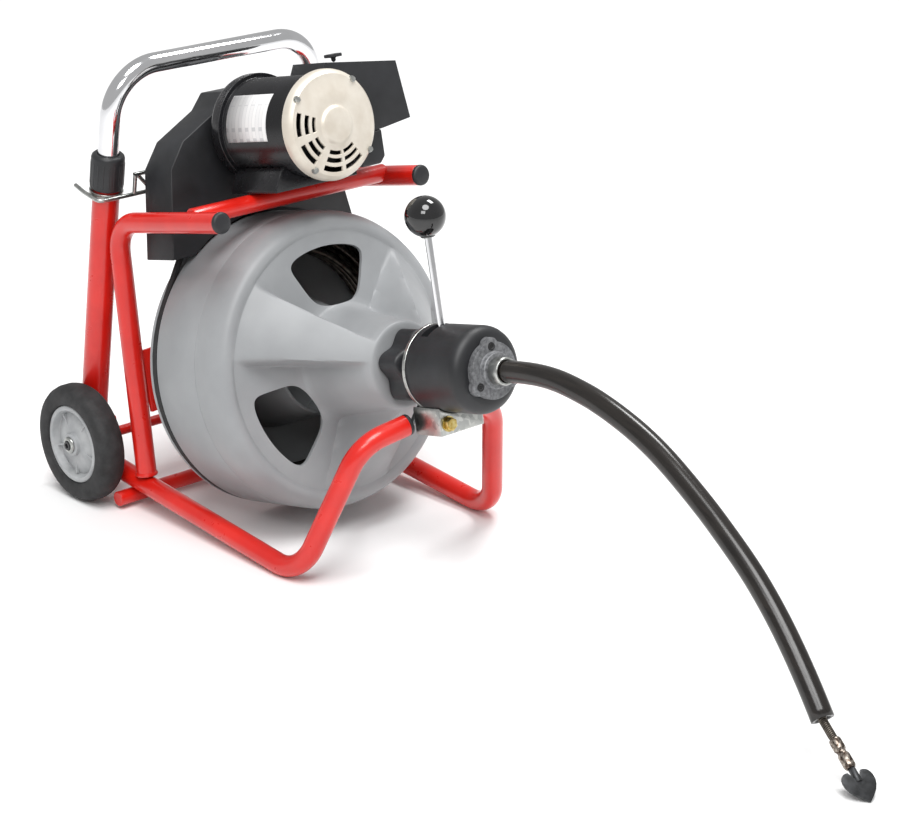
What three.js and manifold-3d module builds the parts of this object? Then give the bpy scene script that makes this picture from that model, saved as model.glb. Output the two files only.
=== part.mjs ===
// Portable drum machine for clearing drains: a belt-driven cable drum on a wheeled tube frame,
// with a motor above it, a lever feed on its nose and a guide hose that lies out in front.
// Millimetres, +Z up. The nose points to -Y and the machine's right side is -X.
// The origin is on the floor, midway between the hose nut and the back of the tyres.
import * as THREE from "three";
import { mergeVertices } from "three/addons/utils/BufferGeometryUtils.js";
import Module from "manifold-3d";

const wasm = await Module();
wasm.setup();

// ---------------------------------------------------------------- driving dimensions
const GAP = 0.3; // between pieces that touch
const RUNNING = 0.4; // radial clearance of what turns or slides
const LENGTH = 656; // hose nut to the back of the tyres
const TILT = THREE.MathUtils.degToRad(12.5); // nose-up pitch of drum, rails and motor
const NOSE_Z = 279; // height of the hose exit
const SIDE_X = 153; // middle plane to the side tubes and posts

const TUBE_R = 12.7; // frame tube, outside
const TUBE_WALL = 2;
const BASE_BEND = 52;
const HOOP_BEND = 42;

const WHEEL_R = 75;
const TYRE_W = 36;
const RIM_R = 50;
const WHEEL_SIDES = 24;
const AXLE_R = 6.35;
const AXLE_Z = WHEEL_R;

const POST_R = 16.7;
const POST_WALL = 3.4;
const POST_LEAN = THREE.MathUtils.degToRad(9.4);
const POST_FOOT = 38; // height of the post's lower end
const POST_TOP = 436;
const LEG_R = POST_R - POST_WALL - RUNNING; // handle leg, slides in the post
const HANDLE_BEND = 60;
const HANDLE_TOP = 553; // height of the handle's cross tube
const LEG_BOTTOM = 92; // height of the pushed-in legs' ends
const COLLAR_R = 20.5;
const COLLAR_LENGTH = 45;

const RAIL_H = 198.6; // rails above the drum axis
const RAIL_FRONT = 290; // rail ends behind the hose exit
const HOOP_TOP = 503; // corner of hoop and rail behind the hose exit
const JOINT_BACK = 492; // nose to where the hoop stands on the base tube
const BASE_REAR_Z = 39.015;
const FOOT_Z = 9.335; // base tube's virtual corner at the front foot

const DRUM_R = 181.5;
const DRUM_WALL = 4;
const DRUM_SPLIT = 352; // joint of the two drum shells behind the hose exit
const DRUM_BACK = 447;
const RIM_STEP = 13.5; // drum's outside to its rim ring
const HUB_R = 48;
const HUB_FRONT = 182;
const WINDOW_IN = 72;
const WINDOW_RIM = 41.5; // drum's outside to the windows
const WINDOW_HALF = THREE.MathUtils.degToRad(25);
const ARM_HALF = THREE.MathUtils.degToRad(17.5);
const DRUM_SIDES = 32;
const SHAFT_R = 10;
const BOSS_R = 21.7; // shaft boss through the drum's back wall
const BEARING_R = 20;
const PLATE_S = 516; // front of the drum support plate

const BELT_W = 8;
const BELT_T = 4;
const BELT_S = 432; // front edge of the belt
const GROOVE_DEPTH = 5.8; // drum's belt groove
const PULLEY_R = 18; // bottom of the pulley's groove

const MOTOR_R = 66; // end rings
const BODY_R = 60; // motor body between them
const MOTOR_H = 286; // motor axis above the drum axis
const MOTOR_FRONT = 262;
const MOTOR_BACK = 412;
const ROTOR_R = 8;
const GUARD_FRONT = 416;
const GUARD_BACK = 472;
const GUARD_WALL = 3;
const CROSSBAR_R = 11;
const CROSSBAR_S = 353;

const FEED_R = 51;
const FEED_FRONT = 33;
const FEED_BACK = 122;
const CAVITY_R = 40;
const CABLE_R = 4.75;
const LEVER_S = 106;
const LEVER_R = 4.5;
const LEVER_TOP = 170;
const BALL_R = 24;
const BALL_H = 177;
const ROLLER_R = 8;
const HOSE_R = 12.7;
const NUT_R = 16.3;
const NUT_FRONT = 3.5;
const FLANGE_FRONT = 24;

// ---------------------------------------------------------------- worked out from them
const NOSE_Y = -LENGTH / 2;
const AXLE_Y = LENGTH / 2 - WHEEL_R;
const JOINT_Y = NOSE_Y + JOINT_BACK;
const RIM_RING_R = DRUM_R - RIM_STEP;
const WINDOW_OUT = DRUM_R - WINDOW_RIM;
const GROOVE_R = DRUM_R - GROOVE_DEPTH;
const WHEEL_X = SIDE_X + POST_R + 1 + TYRE_W / 2; // wheel centre, just outside the post
const POST_Y = AXLE_Y + AXLE_R + POST_R + 3.5; // post line at axle height
const BELT_SIDES = 18; // chords in each of the belt's two arcs
const BELT_ON_DRUM = (GROOVE_R + GAP) / Math.cos(Math.PI / (1.7 * BELT_SIDES));
const BELT_ON_PULLEY = PULLEY_R + GAP;
const ROLLER_RING = CABLE_R + ROLLER_R + RUNNING;
const CRADLE_TOP = MOTOR_H - MOTOR_R;

// ---------------------------------------------------------------- finishes
const finish = (color, roughness, metalness) =>
  new THREE.MeshStandardMaterial({ color, roughness, metalness });
const redPaint = finish(0xd8281c, 0.35, 0.1);
const chrome = finish(0xd8dadc, 0.12, 1);
const zinc = finish(0xb9bbb8, 0.35, 1);
const brassZinc = finish(0xc9b26a, 0.35, 1);
const steel = finish(0x8e9092, 0.4, 1);
const castGrey = finish(0x5b5d5f, 0.6, 0.6);
const greyPlastic = finish(0x9a9c9e, 0.5, 0);
const paleGrey = finish(0xb4b6b7, 0.45, 0);
const blackPlastic = finish(0x1d1e20, 0.45, 0);
const blackEnamel = finish(0x191a1c, 0.35, 0.2);
const creamEnamel = finish(0xcfc5b2, 0.4, 0.2);
const rubber = finish(0x1b1b1c, 0.8, 0);
const glossBlack = finish(0x0c0c0d, 0.1, 0);

// ---------------------------------------------------------------- solids
function solidOf(geometry) {
  const bare = geometry.index ? geometry.toNonIndexed() : geometry.clone();
  bare.deleteAttribute("normal");
  bare.deleteAttribute("uv");
  const merged = mergeVertices(bare, 1e-4);
  const mesh = new wasm.Mesh({
    numProp: 3,
    vertProperties: merged.attributes.position.array,
    triVerts: new Uint32Array(merged.index.array),
  });
  return new wasm.Manifold(mesh);
}

function geometryOf(solid) {
  const mesh = solid.getMesh();
  const geometry = new THREE.BufferGeometry();
  geometry.setAttribute("position", new THREE.BufferAttribute(mesh.vertProperties, 3));
  geometry.setIndex(new THREE.BufferAttribute(mesh.triVerts, 1));
  const flat = geometry.toNonIndexed();
  flat.computeVertexNormals();
  return flat;
}

function cut(geometry, ...tools) {
  return geometryOf(tools.reduce((left, tool) => left.subtract(solidOf(tool)), solidOf(geometry)));
}

function join(...pieces) {
  return geometryOf(pieces.map(solidOf).reduce((left, piece) => left.add(piece)));
}

function overlapOf(geometry, mask) {
  return geometryOf(solidOf(geometry).intersect(solidOf(mask)));
}

// ---------------------------------------------------------------- shapes
// A ring or round piece about the Y axis, from a closed outline of [radius, y] points.
function revolve(outline, segments = 32) {
  const points = outline.map(([radius, y]) => new THREE.Vector2(radius, y));
  if (THREE.ShapeUtils.area(points) < 0) points.reverse();
  points.push(points[0].clone());
  return new THREE.LatheGeometry(points, segments);
}

const aboutX = (geometry) => geometry.rotateZ(-Math.PI / 2); // Y axis to X axis
const aboutZ = (geometry) => geometry.rotateX(Math.PI / 2); // Y axis to Z axis

// The radius of a bore drawn with few sides, so that its flats still clear the round piece in it.
function around(radius, segments, clearance = GAP) {
  return (radius + clearance) / Math.cos(Math.PI / segments);
}

function disc(radius, y0, y1, segments = 24, bore = 0) {
  return revolve([[bore, y0], [radius, y0], [radius, y1], [bore, y1]], segments);
}

// A flat piece whose outline is drawn in X and height, and which runs along Y from y0 to y1.
function slab(shape, y0, y1, curveSegments = 8) {
  const options = { depth: y1 - y0, bevelEnabled: false, curveSegments };
  return new THREE.ExtrudeGeometry(shape, options).rotateX(Math.PI / 2).translate(0, y1, 0);
}

function polygon(points) {
  return new THREE.Shape(points.map(([x, y]) => new THREE.Vector2(x, y)));
}

function box(x0, x1, y0, y1, z0, z1) {
  const size = new THREE.BoxGeometry(x1 - x0, y1 - y0, z1 - z0);
  return size.translate((x0 + x1) / 2, (y0 + y1) / 2, (z0 + z1) / 2);
}

function ringSection(radius, bore, sides) {
  const section = new THREE.Shape();
  for (let i = 0; i < sides; i += 1) {
    const angle = (2 * Math.PI * (i + 0.5)) / sides;
    const put = i ? "lineTo" : "moveTo";
    section[put](radius * Math.cos(angle), radius * Math.sin(angle));
  }
  if (bore > 0) {
    section.holes.push(new THREE.Path(ringSection(bore, 0, sides).getPoints().reverse()));
  }
  return section;
}

// A bent pipe run: straight lines between corners, each corner rounded to its bend radius.
class PipeRun extends THREE.Curve {
  constructor(corners, bend, bendSteps) {
    super();
    this.stations = [];
    const last = corners.length - 1;
    corners.forEach((corner, i) => {
      if (i === 0 || i === last) {
        const ahead = corners[i === 0 ? 1 : last].clone().sub(corners[i === 0 ? 0 : last - 1]);
        this.stations.push({ at: corner, along: ahead.normalize() });
        return;
      }
      const inward = corner.clone().sub(corners[i - 1]).normalize();
      const outward = corners[i + 1].clone().sub(corner).normalize();
      const turn = inward.angleTo(outward);
      const setback = bend * Math.tan(turn / 2);
      const start = corner.clone().addScaledVector(inward, -setback);
      const side = outward.clone().addScaledVector(inward, -Math.cos(turn)).normalize();
      for (let k = 0; k <= bendSteps; k += 1) {
        const angle = (turn * k) / bendSteps;
        const at = start.clone().addScaledVector(inward, bend * Math.sin(angle));
        at.addScaledVector(side, bend * (1 - Math.cos(angle)));
        const along = inward.clone().multiplyScalar(Math.cos(angle));
        along.addScaledVector(side, Math.sin(angle));
        this.stations.push({ at, along: along.normalize() });
      }
    });
    this.steps = this.stations.length - 1;
  }

  getPoint(t) {
    return this.stations[Math.round(t * this.steps)].at.clone();
  }

  getTangent(t) {
    return this.stations[Math.round(t * this.steps)].along.clone();
  }

  getPointAt(t) {
    return this.getPoint(t);
  }

  getTangentAt(t) {
    return this.getTangent(t);
  }
}

function pipe(corners, bend, radius, bore = 0, sides = 12, bendSteps = 4) {
  const run = new PipeRun(corners.map((corner) => new THREE.Vector3(...corner)), bend, bendSteps);
  const section = ringSection(radius, bore, sides);
  return new THREE.ExtrudeGeometry(section, { steps: run.steps, extrudePath: run });
}

function rope(points, radius, sides, steps) {
  const run = new THREE.CatmullRomCurve3(points.map((point) => new THREE.Vector3(...point)));
  const section = ringSection(radius, 0, sides);
  return new THREE.ExtrudeGeometry(section, { steps, extrudePath: run });
}

// ---------------------------------------------------------------- the assembly's groups
const machine = new THREE.Group();
const tilted = new THREE.Group(); // Y runs back along the drum axis from the hose exit
tilted.position.set(0, NOSE_Y, NOSE_Z);
tilted.rotation.x = -TILT;
machine.add(tilted);

const posts = new THREE.Group(); // Z runs up the posts from axle height
posts.position.set(0, POST_Y, AXLE_Z);
posts.rotation.x = POST_LEAN;
machine.add(posts);
const upPost = (height) => (height - AXLE_Z) / Math.cos(POST_LEAN);

function put(group, name, geometry, material) {
  const mesh = new THREE.Mesh(geometry, material);
  mesh.name = name;
  group.add(mesh);
  return mesh;
}

const SIDES = [["right", -1], ["left", 1]];

// A place in the tilted group, as a place in the machine.
function untilt(x, s, h) {
  const y = NOSE_Y + s * Math.cos(TILT) + h * Math.sin(TILT);
  return [x, y, NOSE_Z - s * Math.sin(TILT) + h * Math.cos(TILT)];
}

// ---------------------------------------------------------------- frame
const BASE_REAR_Y = AXLE_Y - 28;
const FOOT_Y = NOSE_Y + 192; // virtual corner of the front foot
const BASE_SLOPE = (BASE_REAR_Z - FOOT_Z) / (BASE_REAR_Y - FOOT_Y);
const baseZ = (y) => FOOT_Z + (y - FOOT_Y) * BASE_SLOPE;
const JOINT_Z = baseZ(JOINT_Y);
const KNEE = [103, NOSE_Y + 138, 176]; // virtual corner where the front arm turns in
const ARM_END = [42, NOSE_Y + 129, 188];

function baseTube(side) {
  const corners = [
    [side * SIDE_X, BASE_REAR_Y, baseZ(BASE_REAR_Y)],
    [side * SIDE_X, FOOT_Y, baseZ(FOOT_Y)],
    [side * KNEE[0], KNEE[1], KNEE[2]],
    [side * ARM_END[0], ARM_END[1], ARM_END[2]],
  ];
  return pipe(corners, BASE_BEND, TUBE_R, TUBE_R - TUBE_WALL);
}

function hoopTube(side) {
  const corner = untilt(side * SIDE_X, HOOP_TOP, RAIL_H);
  const lean = new THREE.Vector3(0, corner[1] - JOINT_Y, corner[2] - JOINT_Z).normalize();
  const skew = lean.angleTo(new THREE.Vector3(0, -BASE_SLOPE, 1));
  const lift = (TUBE_R + GAP + TUBE_R * Math.sin(skew)) / Math.cos(skew); // stands on the base tube
  const foot = [side * SIDE_X, JOINT_Y + lean.y * lift, JOINT_Z + lean.z * lift];
  const corners = [foot, corner, untilt(side * SIDE_X, RAIL_FRONT, RAIL_H)];
  return pipe(corners, HOOP_BEND, TUBE_R, TUBE_R - TUBE_WALL);
}

function endCap(direction) {
  const plug = (TUBE_R - TUBE_WALL) * Math.cos(Math.PI / 12) - GAP;
  const outline = [[0, -8], [plug, -8], [plug, GAP], [TUBE_R, GAP], [TUBE_R, 3], [TUBE_R - 3, 6], [0, 6]];
  const up = new THREE.Vector3(0, 1, 0);
  const turn = new THREE.Quaternion().setFromUnitVectors(up, direction.clone().normalize());
  return revolve(outline, 12).applyQuaternion(turn);
}

function axleBracket(side) {
  const postFront = (z) => POST_Y - (z - AXLE_Z) * Math.tan(POST_LEAN) - POST_R / Math.cos(POST_LEAN) - GAP;
  const shape = polygon([
    [BASE_REAR_Y + GAP + 0.8, 27],
    [postFront(44), 44],
    [postFront(112), 112],
    [AXLE_Y - 18, 104],
    [BASE_REAR_Y + GAP + 0.8, 58],
  ]);
  const hole = new THREE.Path();
  hole.absarc(AXLE_Y, AXLE_Z, around(AXLE_R, 12), 0, 2 * Math.PI, true);
  shape.holes.push(hole);
  const plate = new THREE.ExtrudeGeometry(shape, { depth: 12, bevelEnabled: false, curveSegments: 6 });
  plate.rotateX(Math.PI / 2).rotateZ(Math.PI / 2); // drawn in Y and Z, thick along X
  return plate.translate(side * SIDE_X - 6, 0, 0);
}

function frameTubes() {
  for (const [word, side] of SIDES) {
    put(machine, `${word}_base_tube`, baseTube(side), redPaint);
    put(machine, `${word}_hoop_tube`, hoopTube(side), redPaint);
    put(machine, `${word}_axle_bracket`, axleBracket(side), redPaint);
    const post = ringSection(POST_R, POST_R - POST_WALL, 16);
    const run = { depth: upPost(POST_TOP) - upPost(POST_FOOT), bevelEnabled: false };
    const tube = new THREE.ExtrudeGeometry(post, run);
    tube.translate(side * SIDE_X, 0, upPost(POST_FOOT));
    put(posts, `${word}_post`, tube, redPaint);
    const railCap = endCap(new THREE.Vector3(0, -1, 0)).translate(side * SIDE_X, RAIL_FRONT, RAIL_H);
    put(tilted, `${word}_rail_cap`, railCap, blackPlastic);
    const inward = new THREE.Vector3(side * (ARM_END[0] - KNEE[0]), ARM_END[1] - KNEE[1], ARM_END[2] - KNEE[2]);
    const armCap = endCap(inward).translate(side * ARM_END[0], ARM_END[1], ARM_END[2]);
    put(machine, `${word}_arm_cap`, armCap, blackPlastic);
  }
}

function rearFootBar() {
  const radius = 9.5;
  const y = AXLE_Y - 61;
  const bar = aboutX(disc(radius, -180, 180, 12));
  return bar.translate(0, y, baseZ(y) - TUBE_R - radius - 0.6);
}

function drumSupportPlate() {
  const half = SIDE_X - TUBE_R - 0.6;
  const shape = polygon([[-half, -42], [-60, -34], [60, -34], [half, -42], [half, 36], [60, 40], [-60, 40], [-half, 36]]);
  const hole = new THREE.Path();
  hole.absarc(0, 0, around(BEARING_R, 16), 0, 2 * Math.PI, true);
  shape.holes.push(hole);
  return slab(shape, PLATE_S, PLATE_S + 6);
}

function crossbar() {
  const half = SIDE_X - TUBE_R - 0.6;
  const tube = aboutX(disc(CROSSBAR_R, -half, half, 12, CROSSBAR_R - TUBE_WALL));
  return tube.translate(0, CROSSBAR_S, CRADLE_TOP - 4 - CROSSBAR_R - GAP);
}

function noseBracket() {
  const shape = new THREE.Shape();
  const seat = FEED_R + GAP;
  const low = -FEED_R - 23;
  const dip = Math.acos(31.9 / seat); // the seat starts this far below level
  shape.moveTo(-33, low);
  shape.lineTo(33, low);
  shape.lineTo(33, 6 - FEED_R);
  shape.absarc(0, 0, seat, -dip, -Math.PI + dip, true);
  shape.lineTo(-33, 6 - FEED_R);
  return slab(shape, FEED_BACK - 28, FEED_BACK + 18);
}

// ---------------------------------------------------------------- wheels and axle
function tyre() {
  const half = TYRE_W / 2;
  const outline = [
    [RIM_R, -half + 3], [RIM_R + 8, -half], [WHEEL_R - 8, -half], [WHEEL_R, -half + 9],
    [WHEEL_R, half - 9], [WHEEL_R - 8, half], [RIM_R + 8, half], [RIM_R, half - 3],
  ];
  return aboutX(revolve(outline, WHEEL_SIDES));
}

function wheelHub() {
  const half = TYRE_W / 2;
  const rim = RIM_R - GAP;
  const bore = around(AXLE_R, WHEEL_SIDES, RUNNING);
  const outline = [
    [bore, -half], [14, -half], [14, -4], [rim - 6, -4], [rim - 6, -half + 4], [rim, -half + 4],
    [rim, half - 4], [rim - 6, half - 4], [rim - 6, 4], [14, 4], [14, half], [bore, half],
  ];
  return aboutX(revolve(outline, WHEEL_SIDES));
}

function axleNut(side) {
  const inner = WHEEL_X + TYRE_W / 2 + 0.5;
  const bore = around(AXLE_R, 12);
  const outline = [[bore, inner], [12, inner], [10, inner + 3], [bore, inner + 3]];
  const nut = aboutX(revolve(outline, 12));
  return side > 0 ? nut : nut.rotateZ(Math.PI);
}

function wheels() {
  const reach = WHEEL_X + TYRE_W / 2 + 5;
  put(machine, "axle", aboutX(disc(AXLE_R, -reach, reach, 16)).translate(0, AXLE_Y, AXLE_Z), steel);
  for (const [word, side] of SIDES) {
    put(machine, `${word}_tyre`, tyre().translate(side * WHEEL_X, AXLE_Y, AXLE_Z), rubber);
    put(machine, `${word}_wheel_hub`, wheelHub().translate(side * WHEEL_X, AXLE_Y, AXLE_Z), paleGrey);
    put(machine, `${word}_axle_nut`, axleNut(side).translate(0, AXLE_Y, AXLE_Z), zinc);
  }
}

// ---------------------------------------------------------------- handle
function handleLoop() {
  const low = upPost(LEG_BOTTOM);
  const high = upPost(HANDLE_TOP);
  const corners = [[-SIDE_X, 0, low], [-SIDE_X, 0, high], [SIDE_X, 0, high], [SIDE_X, 0, low]];
  return pipe(corners, HANDLE_BEND, LEG_R, LEG_R - 1.8);
}

function handleCollar(side) {
  const low = upPost(POST_TOP) - 32;
  const onPost = around(POST_R, 16, RUNNING);
  const onLeg = around(LEG_R, 16, RUNNING);
  const lip = upPost(POST_TOP) + GAP;
  const high = low + COLLAR_LENGTH;
  const outline = [
    [onPost, low], [COLLAR_R - 1.5, low], [COLLAR_R, low + 2], [COLLAR_R, high - 4], [COLLAR_R - 4, high],
    [onLeg, high], [onLeg, lip], [onPost, lip],
  ];
  return aboutZ(revolve(outline, 16)).translate(side * SIDE_X, 0, 0);
}

function cordRack() {
  const wire = 2.6;
  const low = upPost(POST_TOP) - 38;
  const forward = -(POST_R + wire + 1.2);
  const out = SIDE_X + POST_R + wire + 5;
  const hook = (z) => [
    [-out + 3, 34, z], [-out, 12, z], [-out, forward, z], [out, forward, z], [out, 12, z], [out - 3, 34, z],
  ];
  const rod = (from, to) => pipe([from, to], 8, wire, 0, 6);
  const lower = pipe(hook(low), 8, wire, 0, 6, 2);
  const upper = rod([-128, forward, low + 26], [128, forward, low + 26]);
  const braces = [-1, 1].flatMap((side) => [
    rod([side * 126, forward, low], [side * 126, forward, low + 26]),
    rod([side * 100, forward, low], [side * 124, forward, low + 26]),
  ]);
  const bands = [-1, 1].map((side) => {
    const band = disc(POST_R + 4.2, low - 2, low + 4, 16, around(POST_R, 16));
    return aboutZ(band).translate(side * SIDE_X, 0, 0);
  });
  return join(lower, upper, ...braces, ...bands);
}

function handle() {
  put(posts, "handle_loop", handleLoop(), chrome);
  put(posts, "cord_rack", cordRack(), zinc);
  for (const [word, side] of SIDES) {
    put(posts, `${word}_handle_collar`, handleCollar(side), blackPlastic);
  }
}

// ---------------------------------------------------------------- drum
// The front of the drum as a full solid, shrunk by an inset: a shallow cone with three raised arms.
function drumFace(inset) {
  const shallow = [
    [0, DRUM_SPLIT + inset], [DRUM_R - inset, DRUM_SPLIT + inset], [DRUM_R - inset, 334],
    [DRUM_R - 4 - inset, 318 + inset * 0.6], [RIM_RING_R - 4, 305 + inset],
    [RIM_RING_R - 10, 306 + inset], [WINDOW_IN - 4 - inset, 289 + inset],
    [HUB_R + 4 - inset, HUB_FRONT + 3 + inset], [HUB_R - inset, HUB_FRONT + inset], [0, HUB_FRONT + inset],
  ];
  const raised = [
    [0, 300], [RIM_RING_R - 8, 306 + inset], [RIM_RING_R - 11 - inset, 301 + inset],
    [HUB_R + 4 - inset, HUB_FRONT + 3 + inset], [0, HUB_FRONT + 3 + inset],
  ];
  const half = ARM_HALF - inset / 110;
  const face = solidOf(revolve(shallow, DRUM_SIDES));
  const cone = revolve(raised, DRUM_SIDES);
  const arms = [30, 150, 270].map((degrees) => {
    const middle = THREE.MathUtils.degToRad(degrees);
    const reach = 2 * DRUM_R;
    const wedge = polygon([
      [0, 0],
      [reach * Math.cos(middle - half), reach * Math.sin(middle - half)],
      [reach * Math.cos(middle + half), reach * Math.sin(middle + half)],
    ]);
    return solidOf(overlapOf(cone, slab(wedge, HUB_FRONT - 4, DRUM_SPLIT)));
  });
  return arms.reduce((left, arm) => left.add(arm), face);
}

function windowShape(degrees) {
  const middle = THREE.MathUtils.degToRad(degrees);
  const shape = new THREE.Shape();
  shape.absarc(0, 0, WINDOW_OUT, middle - WINDOW_HALF, middle + WINDOW_HALF, false);
  shape.absarc(0, 0, WINDOW_IN, middle + WINDOW_HALF * 0.9, middle - WINDOW_HALF * 0.9, true);
  shape.closePath();
  return shape;
}

function drumFrontShell() {
  const bore = solidOf(disc(20, HUB_FRONT - 5, HUB_FRONT + 20, 24));
  let shell = drumFace(0).subtract(drumFace(DRUM_WALL)).subtract(bore);
  for (const degrees of [90, 210, 330]) {
    shell = shell.subtract(solidOf(slab(windowShape(degrees), 230, DRUM_SPLIT, 4)));
  }
  return geometryOf(shell);
}

function drumRearShell() {
  const groove0 = BELT_S - GAP;
  const groove1 = BELT_S + BELT_W + GAP;
  const inside = GROOVE_R - DRUM_WALL;
  const hole = around(BOSS_R, DRUM_SIDES);
  const outline = [
    [DRUM_R - DRUM_WALL, DRUM_SPLIT + GAP], [DRUM_R, DRUM_SPLIT + GAP], [DRUM_R, groove0 - 1],
    [GROOVE_R, groove0], [GROOVE_R, groove1], [DRUM_R - 0.5, groove1 + 1], [DRUM_R - 0.5, DRUM_BACK],
    [hole, DRUM_BACK], [hole, DRUM_BACK - DRUM_WALL], [inside, DRUM_BACK - DRUM_WALL], [inside, groove0 - 5],
    [DRUM_R - DRUM_WALL, groove0 - 6],
  ];
  return revolve(outline, DRUM_SIDES);
}

function innerDrum() {
  const back = DRUM_BACK - DRUM_WALL - GAP;
  return revolve([[30, back - 4], [82, back - 4], [62, 340], [66, 340], [88, back], [30, back]], 20);
}

function cableCoil() {
  const outer = GROOVE_R - DRUM_WALL - 4;
  const inner = outer - 36;
  const coil = revolve([
    [inner, 402], [inner + 9, 392], [outer - 9, 392], [outer, 402],
    [outer, 416], [outer - 9, 426], [inner + 9, 426], [inner, 416],
  ], 20);
  const leadX = (outer - 19.85) * Math.cos(Math.PI / 6); // the lead joins the coil's turns
  const leadH = (outer - 19.85) * Math.sin(Math.PI / 6);
  const route = [[0, NUT_FRONT + 6, 0], [0, 306, 0], [leadX, 322, leadH], [leadX, 408, leadH]];
  const lead = pipe(route, 24, CABLE_R, 0, 6, 3);
  return join(coil, lead);
}

function drumShaft() {
  const outline = [
    [0, DRUM_BACK - 14], [BOSS_R, DRUM_BACK - 14], [BOSS_R, DRUM_BACK + GAP], [36, DRUM_BACK + GAP],
    [36, DRUM_BACK + 7], [SHAFT_R, DRUM_BACK + 7], [SHAFT_R, PLATE_S + 16], [0, PLATE_S + 16],
  ];
  return revolve(outline, 20);
}

function hubKnob() {
  const shape = new THREE.Shape();
  const lobes = 5;
  const steps = lobes * 7;
  for (let i = 0; i < steps; i += 1) {
    const angle = (2 * Math.PI * i) / steps;
    const radius = 38.5 + 5.5 * Math.cos(lobes * (angle - Math.PI / 2));
    shape[i ? "lineTo" : "moveTo"](radius * Math.cos(angle), radius * Math.sin(angle));
  }
  const grip = slab(shape, HUB_FRONT - 34, HUB_FRONT - GAP - 2);
  const nose = disc(26, HUB_FRONT - 41, HUB_FRONT - GAP, 20);
  return cut(join(grip, nose), disc(CABLE_R + 3, HUB_FRONT - 44, HUB_FRONT + 2, 12));
}

function drum() {
  put(tilted, "drum_front_shell", drumFrontShell(), greyPlastic);
  put(tilted, "drum_rear_shell", drumRearShell(), greyPlastic);
  put(tilted, "inner_drum", innerDrum(), greyPlastic);
  put(tilted, "cable_coil", cableCoil(), steel);
  put(tilted, "drum_shaft", drumShaft(), steel);
  put(tilted, "hub_knob", hubKnob(), blackPlastic);
  const bearing = disc(BEARING_R, PLATE_S - 4, PLATE_S + 10, 20, around(SHAFT_R, 20, RUNNING));
  put(tilted, "drum_bearing", bearing, steel);
}

// ---------------------------------------------------------------- motor and belt drive
// The belt's outline round drum and pulley, at a distance off both of their belt seats.
function beltLoop(off, onDrum, onPulley) {
  const lean = Math.asin((onDrum - onPulley) / MOTOR_H);
  const Kind = off > 0 ? THREE.Shape : THREE.Path;
  const loop = new Kind();
  loop.absarc(0, 0, onDrum + off, Math.PI - lean, 2 * Math.PI + lean, false);
  loop.absarc(0, MOTOR_H, onPulley + off, lean, Math.PI - lean, false);
  loop.closePath();
  return loop;
}

function driveBelt() {
  const outer = beltLoop(BELT_T, BELT_ON_DRUM, BELT_ON_PULLEY);
  outer.holes.push(beltLoop(0, BELT_ON_DRUM, BELT_ON_PULLEY));
  return slab(outer, BELT_S, BELT_S + BELT_W, BELT_SIDES);
}

function motorPulley() {
  const bore = around(ROTOR_R, 20);
  const outline = [
    [bore, BELT_S - 6], [PULLEY_R + 5, BELT_S - 6], [PULLEY_R + 5, BELT_S - 1.5],
    [PULLEY_R, BELT_S - GAP], [PULLEY_R, BELT_S + BELT_W + GAP], [PULLEY_R + 5, BELT_S + BELT_W + 1.5],
    [PULLEY_R + 5, BELT_S + BELT_W + 6], [bore, BELT_S + BELT_W + 6],
  ];
  return revolve(outline, 20).translate(0, 0, MOTOR_H);
}

function motorBody() {
  const wall = 4;
  const bore = around(ROTOR_R, 32, RUNNING);
  const ring = MOTOR_BACK - 26;
  const outline = [
    [BODY_R - wall, MOTOR_FRONT], [BODY_R, MOTOR_FRONT], [BODY_R, ring], [MOTOR_R, ring],
    [MOTOR_R, MOTOR_BACK - 12], [MOTOR_R - 10, MOTOR_BACK], [bore, MOTOR_BACK], [bore, MOTOR_BACK - 6],
    [BODY_R - wall - 8, MOTOR_BACK - 6], [BODY_R - wall, MOTOR_BACK - 16],
  ];
  return revolve(outline, 32).translate(0, 0, MOTOR_H);
}

function motorEndBell() {
  const back = MOTOR_FRONT - GAP;
  const outline = [
    [MOTOR_R - 4, back], [MOTOR_R, back], [MOTOR_R, back - 8], [MOTOR_R - 6, back - 15], [24, back - 19],
    [22, back - 24], [0, back - 24], [0, back - 20], [18, back - 19], [18, back - 15],
    [MOTOR_R - 9, back - 11], [MOTOR_R - 4, back - 5],
  ];
  const bell = revolve(outline, 24);
  const slots = [135, 210, 270, 320].flatMap((degrees) => [0, 1].map((row) => {
    const middle = THREE.MathUtils.degToRad(degrees);
    const half = THREE.MathUtils.degToRad(22);
    const inner = 29 + row * 14;
    const slot = new THREE.Shape();
    slot.absarc(0, 0, inner + 8, middle - half, middle + half, false);
    slot.absarc(0, 0, inner, middle + half, middle - half, true);
    slot.closePath();
    return slab(slot, back - 24, back - 2, 3);
  }));
  return cut(bell, ...slots).translate(0, 0, MOTOR_H);
}

function motorRotor() {
  const outline = [
    [0, MOTOR_FRONT - 14], [ROTOR_R, MOTOR_FRONT - 14], [ROTOR_R, 290], [38, 290], [38, 370], [ROTOR_R, 370],
    [ROTOR_R, BELT_S + BELT_W + 12], [0, BELT_S + BELT_W + 12],
  ];
  return revolve(outline, 20).translate(0, 0, MOTOR_H);
}

function motorFan() {
  const bore = around(ROTOR_R, 20);
  const hub = disc(16, 262, 280, 20, bore);
  const back = disc(50, 277, 280, 20, bore);
  const blades = [0, 1, 2, 3, 4, 5].map((i) => {
    const blade = box(14, 52, 263, 279, -1.2, 1.2);
    return blade.rotateY((i * Math.PI) / 3);
  });
  return join(hub, back, ...blades).translate(0, 0, MOTOR_H);
}

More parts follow.
